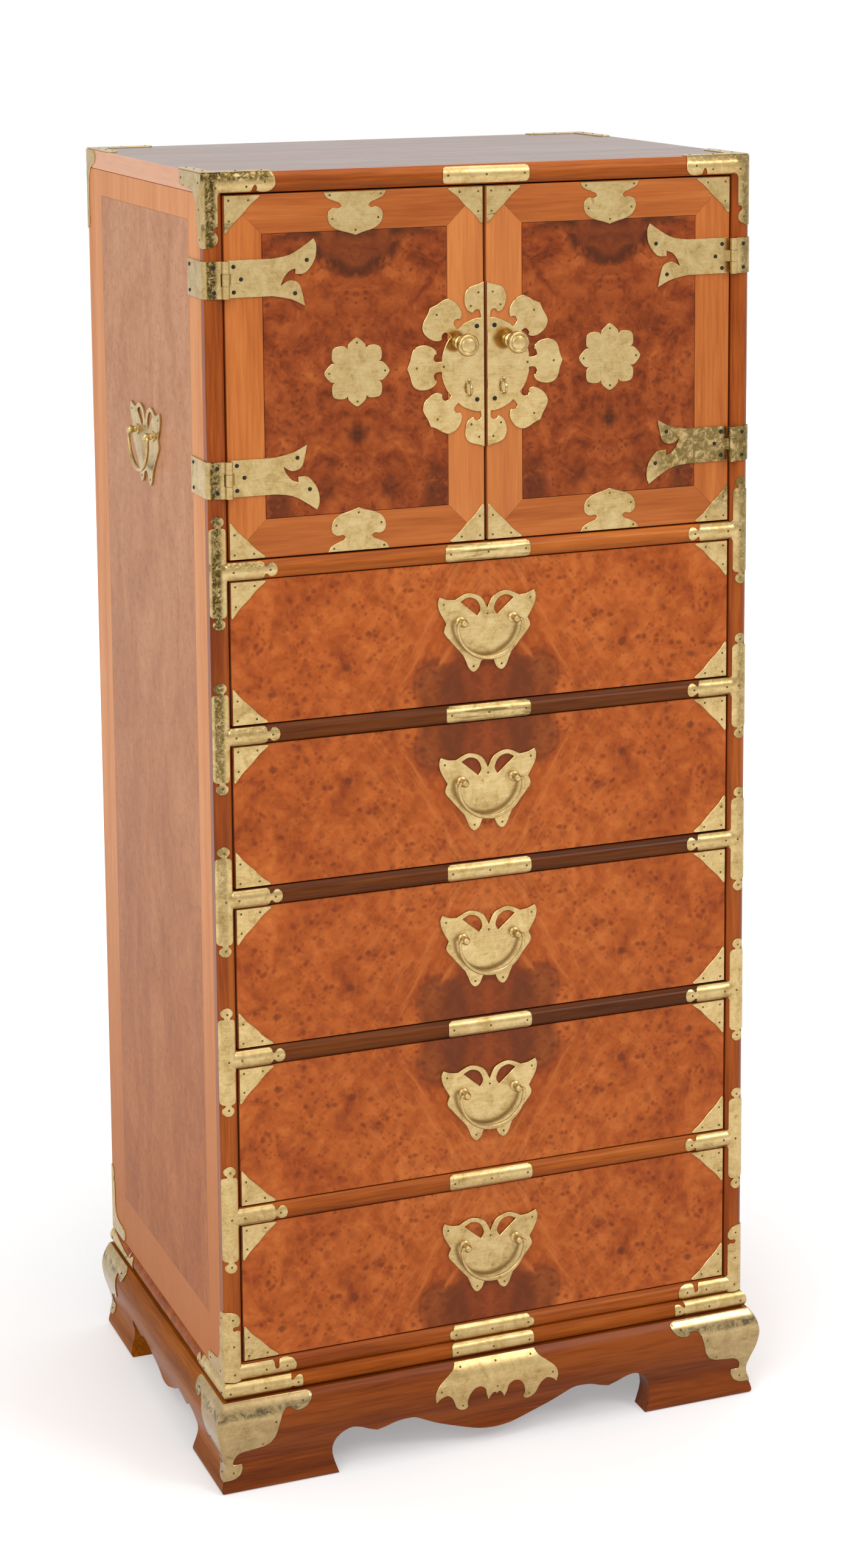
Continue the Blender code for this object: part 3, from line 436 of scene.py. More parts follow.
class Finish:
    """A material being mixed. Patterns lie on object coordinates, in metres."""

    def __init__(self, name, roughness, metallic=0.0, gloss=0.5):
        self.made = bpy.data.materials.new(name)
        self.made.use_nodes = True
        self.tree = self.made.node_tree
        self.shader = self.tree.nodes["Principled BSDF"]
        self.set("Roughness", roughness)
        self.set("Metallic", metallic)
        self.set("Specular IOR Level", gloss)
        self.place = self.tree.nodes.new("ShaderNodeTexCoord").outputs["Object"]
        self.x, self.y, self.z = self.add("ShaderNodeSeparateXYZ", {0: self.place}).outputs

    def feed(self, socket, value):
        """Links a node's output to a socket, or sets a plain value there."""
        if isinstance(value, bpy.types.NodeSocket):
            self.tree.links.new(value, socket)
        else:
            socket.default_value = value

    def set(self, name, value):
        """Feeds one of the shader's own sockets."""
        self.feed(self.shader.inputs[name], value)

    def add(self, kind, inputs, **settings):
        """A new node with its inputs fed."""
        node = self.tree.nodes.new(kind)
        for name, value in settings.items():
            setattr(node, name, value)
        for socket, value in inputs.items():
            self.feed(node.inputs[socket], value)
        return node

    def point(self, x, y, z):
        return self.add("ShaderNodeCombineXYZ", {0: x, 1: y, 2: z}).outputs[0]

    def sum(self, operation, *values):
        return self.add("ShaderNodeMath", dict(enumerate(values)), operation=operation).outputs[0]

    def times(self, first, second):
        return self.sum("MULTIPLY", first, second)

    def minus(self, first, second):
        return self.sum("SUBTRACT", first, second)

    def size(self, value):
        return self.sum("ABSOLUTE", value)

    def total(self, *shares):
        """Patterns added up by their shares."""
        parts = [self.times(value, share) for value, share in shares]
        while len(parts) > 1:
            parts[:2] = [self.sum("ADD", *parts[:2])]
        return parts[0]

    def reach(self, at, centre):
        """Distance from a point."""
        return self.add("ShaderNodeVectorMath", {0: at, 1: centre}, operation="DISTANCE").outputs["Value"]

    def wander(self, at, amount, scale, by=None):
        """Coordinates pushed about, so that nothing runs dead straight."""
        cloud = self.add("ShaderNodeTexNoise", {"Vector": by or at, "Scale": scale, "Detail": 3})
        middle = self.add("ShaderNodeVectorMath", {0: at, 1: (amount / 2,) * 3}, operation="SUBTRACT")
        push = {0: cloud.outputs["Color"], 1: (amount,) * 3, 2: middle.outputs[0]}
        return self.add("ShaderNodeVectorMath", push, operation="MULTIPLY_ADD").outputs[0]

    def stretch(self, at, scale, turn=(0, 0, 0)):
        return self.add("ShaderNodeMapping", {"Vector": at, "Scale": scale, "Rotation": turn}).outputs[0]

    def noise(self, at, scale, detail=4.0, roughness=0.55, swirl=0.0):
        inputs = {"Vector": at, "Scale": scale, "Detail": detail}
        inputs.update({"Roughness": roughness, "Distortion": swirl})
        return self.add("ShaderNodeTexNoise", inputs).outputs["Fac"]

    def cells(self, at, scale):
        """Distance from the nearest of many scattered points."""
        return self.add("ShaderNodeTexVoronoi", {"Vector": at, "Scale": scale}).outputs["Distance"]

    def ranged(self, value, start, end, low, high, kind="LINEAR"):
        """A value from start to end, spread from low to high."""
        inputs = {"Value": value, "From Min": start, "From Max": end, "To Min": low, "To Max": high}
        return self.add("ShaderNodeMapRange", inputs, interpolation_type=kind).outputs["Result"]

    def span(self, value, start, end):
        """0 before the start, 1 after the end and smooth between."""
        if start < end:
            return self.ranged(value, start, end, 0.0, 1.0, "SMOOTHSTEP")
        return self.ranged(value, end, start, 1.0, 0.0, "SMOOTHSTEP")

    def between(self, value, low, high):
        """Spreads a pattern's usual values over a range."""
        return self.ranged(value, 0.3, 0.7, low, high)

    def colours(self, factor, *stops):
        node = self.add("ShaderNodeValToRGB", {0: factor})
        marks = node.color_ramp.elements
        while len(marks) < len(stops):
            marks.new(0.5)
        for mark, (place, colour) in zip(marks, stops):
            mark.position = place
            mark.color = tone(*colour)
        return node.outputs[0]

    def shades(self, factor, *tones, reach=0.14):
        """Dark, middle and light tones about a pattern's usual middle."""
        return self.colours(factor, *zip((0.5 - reach, 0.5, 0.5 + reach), tones))

    def blend(self, factor, first, second, most=1.0):
        """One colour over another, up to a share."""
        if most < 1:
            factor = self.times(factor, most)
        first, second = (tone(*c) if isinstance(c, tuple) else c for c in (first, second))
        return self.add("ShaderNodeMix", {0: factor, 6: first, 7: second}, data_type="RGBA").outputs[2]

    def paint(self, colour, most, *masks):
        """Lays a colour over the finish, up to a share, where all the masks are."""
        factor = masks[0]
        for mask in masks[1:]:
            factor = self.times(factor, mask)
        self.colour = self.blend(factor, self.colour, colour, most)

    def relief(self, height, depth):
        bump = self.add("ShaderNodeBump", {"Strength": 1.0, "Distance": depth, "Height": height})
        self.set("Normal", bump.outputs["Normal"])

    def done(self, roughness=None):
        self.set("Base Color", self.colour)
        if roughness is not None:
            self.set("Roughness", roughness)
        return self.made


INNER_TONES = (150, 100, 62), (168, 116, 74), (182, 130, 86)
RELIEF = 0.05 * MM  # depth of pores and grain
BURL_STOPS = 0.36, 0.46, 0.53, 0.66
STRAIGHT = 0.16  # reach of straight veneer's tones about the middle of its grain
PANEL_BACK = 5 * MM  # the doors' polish ends this far behind their front
SIDE_BORDER, SIDE_BORDER_TOP, SIDE_BORDER_LOW = 49 * MM, 43 * MM, 155 * MM  # the last is a height
DOOR_BORDER = 35 * MM


def grain(look, along):
    """Straight grain along an axis: broad bands and fine lines, as one number."""
    slow = {"x": (3, 60, 60), "y": (60, 3, 60), "z": (60, 60, 3)}[along]
    fine = tuple(7 * c for c in slow)
    at = look.wander(look.place, 0.006, 5)
    bands = look.noise(look.stretch(at, slow), 1.0, 3)
    lines = look.noise(look.stretch(at, fine), 1.0, 2)
    return look.total((bands, 0.6), (lines, 0.4))


def plain_wood(look, along):
    """Colour of the unpolished wood inside."""
    return look.colours(grain(look, along), (0.36, INNER_TONES[0]), (0.64, INNER_TONES[-1]))


def plain_behind(look, along, depth):
    """Leaves what lies deeper than a depth behind the doors' front unpolished."""
    behind = look.span(look.y, FACE + depth, FACE + depth + 0.6 * MM)
    look.paint(plain_wood(look, along), 1, behind)


def straight_wood(name, along, *tones, roughness=0.27, gloss=0.12, hidden=None):
    """Plain polished wood. Deeper than hidden it is unpolished."""
    look = Finish(name, roughness, gloss=gloss)
    lines = grain(look, along)
    look.colour = look.shades(lines, *tones)
    if hidden:
        plain_behind(look, along, hidden)
    look.relief(lines, RELIEF)
    return look.done(look.between(lines, roughness - 0.05, roughness + 0.05))


def dark_eyes(look, at, grouped, dark, sizes):
    """Groups of dark eyes in burl: scale, edge and strength of each size."""
    for scale, edge, most in sizes:
        look.paint(dark, most, look.span(look.cells(at, scale), edge, 0.10), grouped)


def drawer_burl():
    """Burl on the drawers, opened like a book about the middle and about every other rail."""
    look = Finish("drawer_burl", 0.36, gloss=0.16)
    wide = look.size(look.x)
    up = look.sum("PINGPONG", look.minus(look.z, RAILS["case_bottom"][0]), RAIL_PITCH)
    leaf = look.wander(look.wander(look.point(wide, up, 0.0), 0.016, 11), 0.006, 60)
    loose = look.wander(leaf, 0.010, 9, look.place)
    drift = look.noise(look.place, 7, 3)
    cloud = look.noise(loose, 22, 6, 0.6, 0.9)
    mottle = look.noise(loose, 110, 4, 0.6, 0.6)
    tint = look.total((cloud, 0.52), (mottle, 0.32), (drift, 0.16))
    tones = (142, 60, 18), (170, 81, 29), (184, 92, 36), (206, 115, 54)
    look.colour = look.colours(tint, *zip(BURL_STOPS, tones))
    turned = look.stretch(loose, (1, 1, 1), (0, 0, math.radians(-33)))
    flames = look.noise(look.stretch(turned, (130, 16, 1)), 1.0, 3)
    look.paint((210, 121, 60), 0.5, look.span(flames, 0.48, 0.70), look.span(wide, 0.17, 0.07))
    grouped = look.span(look.noise(loose, 19, 4), 0.36, 0.54)
    dark_eyes(look, loose, grouped, (116, 43, 14), ((62, 0.48, 0.42), (95, 0.36, 0.65), (165, 0.38, 0.45)))
    knots = look.cells(look.stretch(leaf, (14, 22, 1)), 1.0)
    look.paint((104, 46, 18), 0.7, look.span(knots, 0.10, 0.04))
    ragged = look.wander(leaf, 0.012, 45)
    dome = look.minus(look.reach(ragged, (0.0, 0.028, 0)), 0.046)
    lobe = look.minus(look.reach(ragged, (0.044, 0.026, 0)), 0.027)
    heart = look.span(look.noise(leaf, 38, 4, 0.6, 1.0), 0.36, 0.62)
    inside = look.colours(heart, (0.0, (106, 47, 18)), (1.0, (142, 64, 27)))
    look.paint(inside, 0.82, look.span(dome, 0.003, -0.006))
    look.paint((98, 47, 20), 0.6, look.span(lobe, 0.003, -0.007))
    edge = look.span(look.size(look.sum("MINIMUM", dome, lobe)), 0.005, 0.0)
    look.paint((90, 43, 18), 0.55, edge, look.span(look.noise(leaf, 30, 2), 0.40, 0.58))
    plain_behind(look, "x", MM)
    look.relief(mottle, RELIEF)
    return look.done(look.between(mottle, 0.30, 0.42))


def door_burl():
    """Dark burl in the doors, each panel opened like a book about its own middle."""
    look = Finish("door_burl", 0.36, gloss=0.14)
    wide = look.size(look.minus(look.size(look.x), DOOR_CENTRE))
    leaf = look.wander(look.point(wide, look.minus(look.z, DOOR_MIDDLE), 0.0), 0.016, 16)
    leaf = look.wander(leaf, 0.010, 55)
    loose = look.wander(leaf, 0.012, 10, look.place)
    cloud = look.noise(loose, 36, 5, 0.62, 0.8)
    mottle = look.noise(loose, 120, 4, 0.6, 0.8)
    drift = look.noise(look.place, 9, 3)
    tint = look.total((cloud, 0.6), (mottle, 0.24), (drift, 0.16))
    tones = (94, 38, 14), (132, 58, 22), (151, 71, 29), (180, 94, 43)
    look.colour = look.colours(tint, *zip(BURL_STOPS, tones))
    grouped = look.span(look.noise(loose, 24, 4), 0.38, 0.56)
    dark_eyes(look, loose, grouped, (88, 34, 13), ((85, 0.34, 0.6), (150, 0.34, 0.55)))
    top = DOOR_HIGH[2] - DOOR_BORDER - DOOR_MIDDLE
    arch = look.minus(look.reach(leaf, (0, top + 0.002, 0)), 0.039)
    look.paint((98, 47, 23), 0.55, look.span(arch, 0.004, -0.004))
    rough = look.span(look.noise(leaf, 45, 4, 0.6, 1.5), 0.34, 0.56)
    look.paint((66, 31, 14), 0.8, look.span(look.size(arch), 0.010, 0.0), rough)
    broken = look.span(look.noise(loose, 70, 4, 0.65, 1.0), 0.26, 0.50)
    for across, rise, half, tall, most in DOOR_SPOTS:
        near = look.stretch(leaf, (1 / half, 1 / tall, 1))
        spot = look.span(look.reach(near, (across / half, rise / tall, 0)), 1.25, 0.2)
        look.paint((74, 34, 15), most, spot, broken)
    under_top = look.span(look.z, DOOR_MIDDLE + top - 0.012, DOOR_MIDDLE + top - 0.001)
    look.paint((74, 36, 16), 0.75, under_top, look.span(look.noise(leaf, 26, 3), 0.42, 0.56))
    plain_behind(look, "z", PANEL_BACK)
    look.relief(mottle, RELIEF)
    return look.done(look.between(mottle, 0.30, 0.42))


def door_border():
    """Straight-grained door borders, mitred at the corners. The posts in the middle are paler."""
    look = Finish("door_border", 0.36, gloss=0.2)
    wide = look.size(look.x)
    from_side, from_end = (
        look.sum("MINIMUM", look.minus(at, DOOR_LOW[axis]), look.minus(DOOR_HIGH[axis], at))
        for at, axis in ((wide, 0), (look.z, 2))
    )
    lead = look.minus(from_side, from_end)
    upright, across = grain(look, "z"), grain(look, "x")
    posts = look.shades(upright, (172, 90, 36), (190, 106, 46), (206, 123, 60), reach=STRAIGHT)
    posts = look.blend(look.span(wide, 0.056, 0.053), posts, (222, 148, 88), 0.22)
    rails = look.shades(across, (158, 80, 30), (178, 96, 40), (194, 111, 52), reach=STRAIGHT)
    look.colour = look.blend(look.sum("GREATER_THAN", lead, 0.0), posts, rails)
    look.paint((92, 46, 20), 0.45, look.span(look.size(lead), 0.0006, 0.0001))
    plain_behind(look, "z", PANEL_BACK)
    look.relief(upright, RELIEF)
    return look.done(look.between(upright, 0.30, 0.40))


def side_border_painted_light(look, along):
    """Straight-grained veneer round the sides, painted pale as painted light on the sides."""
    return look.shades(grain(look, along), (220, 140, 86), (232, 155, 99), (240, 168, 113), reach=STRAIGHT)


def side_veneer():
    """The sides: a long burl panel inside a straight-grained border, both painted pale as painted light and
    painted darker towards the floor as painted shade.
    """
    look = Finish("side_veneer", 0.34, gloss=0.03)
    leaf = look.wander(look.place, 0.014, 9)
    cloud = look.noise(look.stretch(leaf, (14, 20, 9)), 1.0, 5, 0.6, 1.0)
    mottle = look.noise(leaf, 95, 4, 0.6, 0.6)
    tint = look.total((cloud, 0.55), (mottle, 0.45))
    # painted light: pale panel tones stand in for the light on the sides
    panel = look.shades(tint, (192, 130, 92), (208, 148, 110), (220, 162, 124))
    deeper = look.shades(tint, (164, 90, 42), (182, 105, 54), (198, 121, 68))
    # painted shade: the panel turns darker towards the floor
    panel = look.blend(look.span(look.z, 1.20, 0.10), panel, deeper, 0.9)
    specks = look.span(look.cells(leaf, 120), 0.30, 0.10)
    panel = look.blend(specks, panel, (112, 56, 28), 0.25)
    inside = look.minus(look.y, CROWN + SIDE_BORDER)
    for edge in (
        look.minus(BACK - SIDE_BORDER, look.y),
        look.minus(look.z, SIDE_BORDER_LOW),
        look.minus(TOP - SIDE_BORDER_TOP, look.z),
    ):
        inside = look.sum("MINIMUM", inside, edge)
    # painted shade: the border turns darker towards the floor
    border = look.blend(look.span(look.z, 0.7, 0.05), side_border_painted_light(look, "z"), (196, 116, 58), 0.9)
    look.colour = look.blend(look.span(inside, -0.0004, 0.0004), border, panel)
    look.paint((120, 66, 36), 0.3, look.span(look.size(inside), 0.0008, 0.0002))
    within = look.span(look.size(look.x), HALF_WIDTH - 0.0006, HALF_WIDTH - 0.0012)
    look.paint(plain_wood(look, "y"), 1, within)
    look.relief(mottle, 0.8 * RELIEF)
    return look.done(look.between(mottle, 0.28, 0.38))


def top_veneer():
    """The polished top, with its grain from side to side. Its ends match the sides, painted pale as painted
    light.
    """
    look = Finish("top_veneer", 0.28, gloss=0.8)
    lines = grain(look, "x")
    cloud = look.noise(look.wander(look.place, 0.02, 7), 16, 5, 0.6, 0.8)
    tint = look.total((lines, 0.6), (cloud, 0.4))
    look.colour = look.shades(tint, (88, 54, 36), (106, 67, 46), (122, 80, 57))
    from_ring = look.minus(look.reach(look.place, (-0.115, 0.035, TOP)), 0.042)
    ring = look.span(look.size(from_ring), 0.0025, 0.0005)
    look.paint((84, 44, 26), 0.5, ring, look.span(look.noise(look.place, 40, 2), 0.42, 0.60))
    ends = look.span(look.size(look.x), HALF_WIDTH - 0.0009, HALF_WIDTH - 0.0004)
    look.paint(side_border_painted_light(look, "y"), 1, ends)
    look.paint(plain_wood(look, "x"), 1, look.span(look.y, BACK - 0.0009, BACK - 0.0004))
    look.relief(lines, 1.2 * RELIEF)
    return look.done(look.between(lines, 0.24, 0.36))


def brass(name, tones, stain, spread, depth=0.02 * MM):
    """Old brass sheet: mottled, brushed and stained in patches. Gives the finish and its mottle."""
    look = Finish(name, 0.4, metallic=1.0)
    cloud = look.noise(look.wander(look.place, 0.01, 40), 70, 5, 0.65, 0.8)
    speck = look.noise(look.place, 420, 3, 0.7)
    brushed = look.noise(look.stretch(look.place, (60, 400, 900)), 1.0, 3)
    tint = look.total((cloud, 0.55), (speck, 0.25), (brushed, 0.2))
    look.colour = look.colours(tint, *zip((0.34, 0.48, 0.66), tones))
    patches = look.noise(look.wander(look.place, 0.008, 60), 48, 5, 0.7, 1.2)
    look.paint(stain, 0.8, look.span(patches, *spread))
    look.relief(look.sum("ADD", speck, cloud), depth)
    return look, tint


def bright_brass():
    """Brass with black patina and painted dark reflection on the outer edges of the frame's brackets, most
    on the upper left.
    """
    tones = (152, 124, 72), (184, 157, 105), (204, 180, 130)
    look, tint = brass("brass", tones, (134, 106, 56), (0.60, 0.74))
    wide = look.size(look.x)
    first = RAILS["case_bottom"][0]
    nearest = look.sum("WRAP", look.z, first + RAIL_PITCH / 2, first - RAIL_PITCH / 2)
    from_rail = look.minus(nearest, first)
    on_rail = look.span(look.size(from_rail), 0.0085, 0.0078)
    outer = look.span(wide, STILE_MIDDLE - 0.004, STILE_MIDDLE + 0.001)
    outer = look.times(outer, look.span(wide, HALF_WIDTH - 0.0006, HALF_WIDTH - 0.0024))
    arm = look.times(look.times(look.span(from_rail, 0.0005, 0.004), on_rail), 0.65)
    upper = look.sum("MAXIMUM", look.span(look.z, TOP - 0.0095, TOP - 0.005), arm)
    upper = look.times(upper, look.span(wide, 0.19, 0.21))
    patina_and_reflection_speckle = look.span(look.noise(look.wander(look.place, 0.006, 90), 240, 4, 0.75, 1.0), 0.28, 0.58)
    front = look.span(look.y, FACE + 0.001, FACE - 0.0005)
    left = look.between(look.span(look.x, 0.1, -0.1), 0.6, 1.0)
    high = look.span(look.z, 0.30, 0.86)
    # patina and painted dark reflection: black on the brackets' outer flanks and upper arms, most on the
    # upper left
    look.paint((70, 55, 21), 1, look.sum("MAXIMUM", outer, upper), patina_and_reflection_speckle, front, high, left)
    blotch = look.span(look.noise(look.wander(look.place, 0.006, 80), 170, 5, 0.75, 0.4), 0.36, 0.56)
    low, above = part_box("right_lower_hinge_leaf")
    hinge = look.reach(look.place, (INNER_HALF - 0.02, CROWN, (low[2] + above[2]) / 2))
    look.paint((94, 75, 34), 0.8, look.span(hinge, 0.075, 0.045), blotch)
    plate = look.times(on_rail, look.span(wide, 0.046, 0.044))
    streaks = look.noise(look.stretch(look.place, (24, 1, 260)), 1.0, 3)
    look.paint((92, 74, 36), 0.7, plate, look.span(look.z, 0.69, 0.70), look.span(streaks, 0.50, 0.62))
    return look.done(look.between(tint, 0.40, 0.26))


def lock_brass():
    """Polished brass of the lock plate, smooth enough to mirror the knobs."""
    tones = (166, 136, 80), (200, 171, 115), (220, 195, 142)
    look, tint = brass("lock_brass", tones, (158, 130, 76), (0.62, 0.78))
    return look.done(look.between(tint, 0.22, 0.13))


def dull_brass():
    """Duller brass of the foot mounts and lock eyes, with a painted dark reflection in a mottled band under
    the mounts' tops.
    """
    tones = (140, 118, 80), (166, 141, 98), (186, 163, 118)
    look, tint = brass("dull_brass", tones, (118, 98, 60), (0.58, 0.74), 0.01 * MM)
    # painted reflection: a dark mottled band under the mounts' tops
    band = look.span(look.size(look.minus(look.z, 0.077)), 0.006, 0.001)
    blotch = look.span(look.noise(look.wander(look.place, 0.01, 50), 75, 5, 0.7, 1.5), 0.42, 0.60)
    look.paint((78, 72, 52), 0.85, band, blotch)
    return look.done(look.between(tint, 0.26, 0.16))


def nail_metal(name, dark, light, metallic):
    """Nail heads."""
    look = Finish(name, 0.4, metallic=metallic)
    tint = look.noise(look.place, 700, 3, 0.6)
    look.colour = look.colours(tint, (0.36, dark), (0.64, light))
    look.relief(tint, 0.08 * MM)
    return look.done(look.between(tint, 0.5, 0.35))


def rail_wood(name, *tones):
    """Polished wood of a rail's front, with plain wood on the board behind it."""
    return straight_wood(name, "x", *tones, hidden=8.5 * MM)


BRASS, LOCK_BRASS, DULL_BRASS = bright_brass(), lock_brass(), dull_brass()
NAILS = {
    "brass": nail_metal("nail_brass", (64, 50, 24), (128, 104, 58), 1.0),
    "black": nail_metal("nail_black", (16, 14, 12), (44, 38, 32), 0.6),
}
LEVEL = rail_wood("frame_level", (128, 58, 12), (156, 76, 20), (176, 93, 30))
PLINTH = straight_wood("plinth_front_wood", "x", (100, 43, 8), (126, 58, 14), (147, 73, 23))
PLINTH_SIDE_TONES = (128, 66, 10), (156, 83, 14), (178, 100, 24)
INNER = straight_wood("inner_wood", "x", *INNER_TONES, roughness=0.5, gloss=0.0)
NODE_LOOKS = {  # a solid takes the first of these that its name holds
    "_stile": straight_wood("frame_upright", "z", (122, 53, 14), (153, 72, 21), (173, 90, 32)),
    "top_rail": LEVEL,
    # painted light: the rail under the doors is painted lighter than the other rails
    "cabinet_floor": rail_wood("door_rail_painted_light", (146, 70, 18), (174, 91, 30), (194, 109, 42)),
    "drawer_divider_4": LEVEL,
    # painted shade with darker varnish: the first three dividers are painted darker than the other rails
    "drawer_divider": rail_wood("divider_wood_painted_shade", (74, 33, 5), (95, 45, 7), (114, 57, 11)),
    "case_bottom": LEVEL,
    "base_board": straight_wood("base_wood", "x", (128, 58, 12), (155, 77, 22), (176, 94, 34), gloss=0.06),
    "plinth_front": PLINTH, "plinth_back": PLINTH,
    "plinth_": straight_wood("plinth_side_wood", "y", *PLINTH_SIDE_TONES, gloss=0.03),
    "back_panel": INNER, "_box": INNER, "top_panel": top_veneer(),
    "door_frame": door_border(), "door_panel": door_burl(), "_front": drawer_burl(),
    **dict.fromkeys(("hinge", "pull_plate", "bail", "knob", "lock_plate"), BRASS),
    "catch": NAILS["black"], "_side": side_veneer(),
}


def smooth_group():
    """A modifier that drops the solids' flat shading and smooths all but their edges."""
    group = bpy.data.node_groups.new("smooth_round_parts", "GeometryNodeTree")
    for way in ("INPUT", "OUTPUT"):
        group.interface.new_socket("Geometry", in_out=way, socket_type="NodeSocketGeometry")
    start, end = group.nodes.new("NodeGroupInput"), group.nodes.new("NodeGroupOutput")
    clear = group.nodes.new("GeometryNodeRemoveAttribute")
    clear.inputs["Name"].default_value = "custom_normal"
    faces = group.nodes.new("GeometryNodeSetShadeSmooth")
    edges = group.nodes.new("GeometryNodeSetShadeSmooth")
    edges.domain = "EDGE"
    edges.inputs["Shade Smooth"].default_value = False
    angle = group.nodes.new("GeometryNodeInputMeshEdgeAngle")
    sharp = group.nodes.new("FunctionNodeCompare")
    sharp.operation = "GREATER_THAN"
    sharp.inputs[1].default_value = math.radians(30)
    group.links.new(angle.outputs["Unsigned Angle"], sharp.inputs[0])
    group.links.new(start.outputs[0], clear.inputs[0])
    group.links.new(clear.outputs[0], faces.inputs[0])
    group.links.new(faces.outputs[0], edges.inputs[0])
    group.links.new(sharp.outputs[0], edges.inputs["Selection"])
    group.links.new(edges.outputs[0], end.inputs[0])
    return group


def dress_solids():
    """Gives every solid its finish, smooth rounds and eased edges."""
    group = smooth_group()
    for name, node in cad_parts.items():
        key = next(k for k in NODE_LOOKS if k in name)
        node.data.materials.clear()
        node.data.materials.append(NODE_LOOKS[key])
        weld = node.modifiers.new("weld", "WELD")
        weld.merge_threshold = 0.00002
        node.modifiers.new("smooth", "NODES").node_group = group
        ease = node.modifiers.new("ease", "BEVEL")
        ease.limit_method = "ANGLE"
        ease.angle_limit = math.radians(40)
        ease.width = 0.0002 if "hinge" in name else 0.0007
        ease.segments = 2
        ease.harden_normals = True


# Brass on the case

BENDS = -1, -0.87, -0.68, -0.42, -0.14, 0.14, 0.42, 0.68, 0.87, 1  # in half heights of a rail
STILE_BENDS = [-STILE_MIDDLE - o * MM for o in (-8.5, -7.4, -5.8, -3.6, -1.2, 1.2, 3.6, 5.8, 7.4, 8.5)]
RAIL_NAILS = (-37, 0), (0, 0), (37, 0)


def rail_cuts(middle, half):
    """Lines along a rail where a plate over it bends."""
    return [middle + half * share for share in BENDS]


def t_brackets():
    """Brackets over the joints of the rails and stiles."""
    bm = bmesh.new()
    heads = (209.6, 0), (244, 0), (256.6, 0), (257.4, 45.4), (257.4, -45.4)
    for name in RAIL_NODES[1:-1]:
        middle, half = RAILS[name]
        rim = [(-u, v + middle) for u, v in doubled(T_ARM, "v")]
        sheet(bm, rim, frame_skin, (STILE_BENDS, rail_cuts(middle, half)))
        for side in SIDES.values():
            nails("case", frame_skin, heads, (0, middle / MM), (side, 1))
    mirror_across(bm)
    piece("t_brackets", bm, "case", BRASS)


def corner_brackets():
    """Brackets round the top and bottom corners of the case."""
    bm = bmesh.new()
    for runs, name in ((TOP_CORNER, "top_rail"), (LOW_CORNER, "case_bottom")):
        rim = [(-u, v) for u, v in outline(runs)]
        sheet(bm, rim, frame_skin, (STILE_BENDS, rail_cuts(*RAILS[name])))
    low_back = [
        [(u - CORNER, v) for u, v in run if u >= CORNER]
        for run in LOW_CORNER
        if max(u for u, _ in run) > CORNER
    ]
    for runs in (BACK_CORNER, low_back):
        rim = outline(runs) + [tuple(c * MM for c in runs[-1][-1])]
        sheet(bm, [(u - BACK, v) for u, v in rim], left_side_skin)
    bulge = [
        (u * MM, CROWN + bead_depth(u * MM - STILE_MIDDLE, STILE_HALF))
        for u in (250, 252, 254.4, 256.5, 258.6, 261, 263)
    ]
    inner, end, corner = outline(TOP_LEAF), TOP_LEAF[-1][-1][0] * MM, CORNER * MM
    front = [(end, FACE), (248 * MM, FACE), *bulge, (corner, FACE), *((u, FACE + v) for u, v in inner)]
    back = [(end, BACK), (corner, BACK), *((u, BACK - v) for u, v in inner)]
    for rim in (front, back):
        sheet(bm, [(-u, v) for u, v in rim], top_skin)
    mirror_across(bm)
    piece("corner_brackets", bm, "case", BRASS)
    heads = (
        (254.5, 1205.5), (226, 1206), (209, 1209.5), (258, 1161), (258.6, 1184), (273, 1209.5), (324, 1211),
        (270.6, 1160), (272, 1186), (205.6, 112.6), (226, 112.6), (256.6, 112.6), (257.4, 166), (257, 140),
        (274, 112), (305, 111.6), (269, 166),
    )
    top_heads = (208, 7), (232, 7), (258, 20), (258, 44), (258, 68)
    for side in SIDES.values():
        nails("case", frame_skin, heads, way=(side, 1))
        for edge, way in ((FACE, 1), (BACK, -1)):
            nails("case", top_skin, top_heads, (0, edge / MM), (side, way))


def base_mounts():
    """Arms round the base board, mounts on the four feet and the plate on the apron."""
    arms, feet, apron = bmesh.new(), bmesh.new(), bmesh.new()
    rim = [(a, z + BASE_MIDDLE) for a, z in doubled(BASE_ARM, "v")]
    bends = rail_cuts(BASE_MIDDLE, BASE_HALF)
    sheet(arms, rim, base_corner_skin, ([0.0], bends))
    back = [(-a, z) for a, z in rim if a < -40 * MM]
    reach = max(z for _, z in back), min(z for _, z in back)
    sheet(arms, [*back, (0.0, reach[1]), (0.0, reach[0])], base_back_skin, ([], bends))
    levels = [z * MM for z in range(14, 88, 4)]
    front = outline(FOOT_MOUNT) + [tuple(c * MM for c in FOOT_MOUNT[-1][-1])]
    side = [(-FOOT_SIDE * a, z) for a, z in front]
    sheet(feet, front + side[-2:0:-1], base_corner_skin, ([0.0], levels))
    sheet(feet, [(-a, z) for a, z in side], base_back_skin, ([], levels))
    sheet(apron, doubled(APRON_MOUNT, "u"), base_front_skin, ([], levels))
    mirror_across(arms)
    mirror_across(feet)
    piece("base_arms", arms, "case", BRASS)
    piece("foot_mounts", feet, "case", DULL_BRASS)
    piece("apron_plate", apron, "case", BRASS)
    heads = (
        (72, 96), (40, 96), (6, 96), (-6, 96), (-60, 96), (-77, 96), (80, 80), (40, 45), (8, 18.5),
        (56, 66), (-62, 80), (-32, 45), (-6.5, 18.5),
    )
    back_heads = (60, 96), (8, 96), (62, 80), (32, 45), (6.5, 18.5)
    for flip in (Matrix.Identity(4), Matrix.Diagonal((-1, 1, 1, 1))):
        nails("case", base_corner_skin, heads, move=flip)
        nails("case", base_back_skin, back_heads, move=flip)
    apron_heads = (0, 83), (36, 83), (-36, 83), (57, 64), (-57, 64), (34, 45), (-34, 45), (0, 60)
    nails("case", base_front_skin, apron_heads)


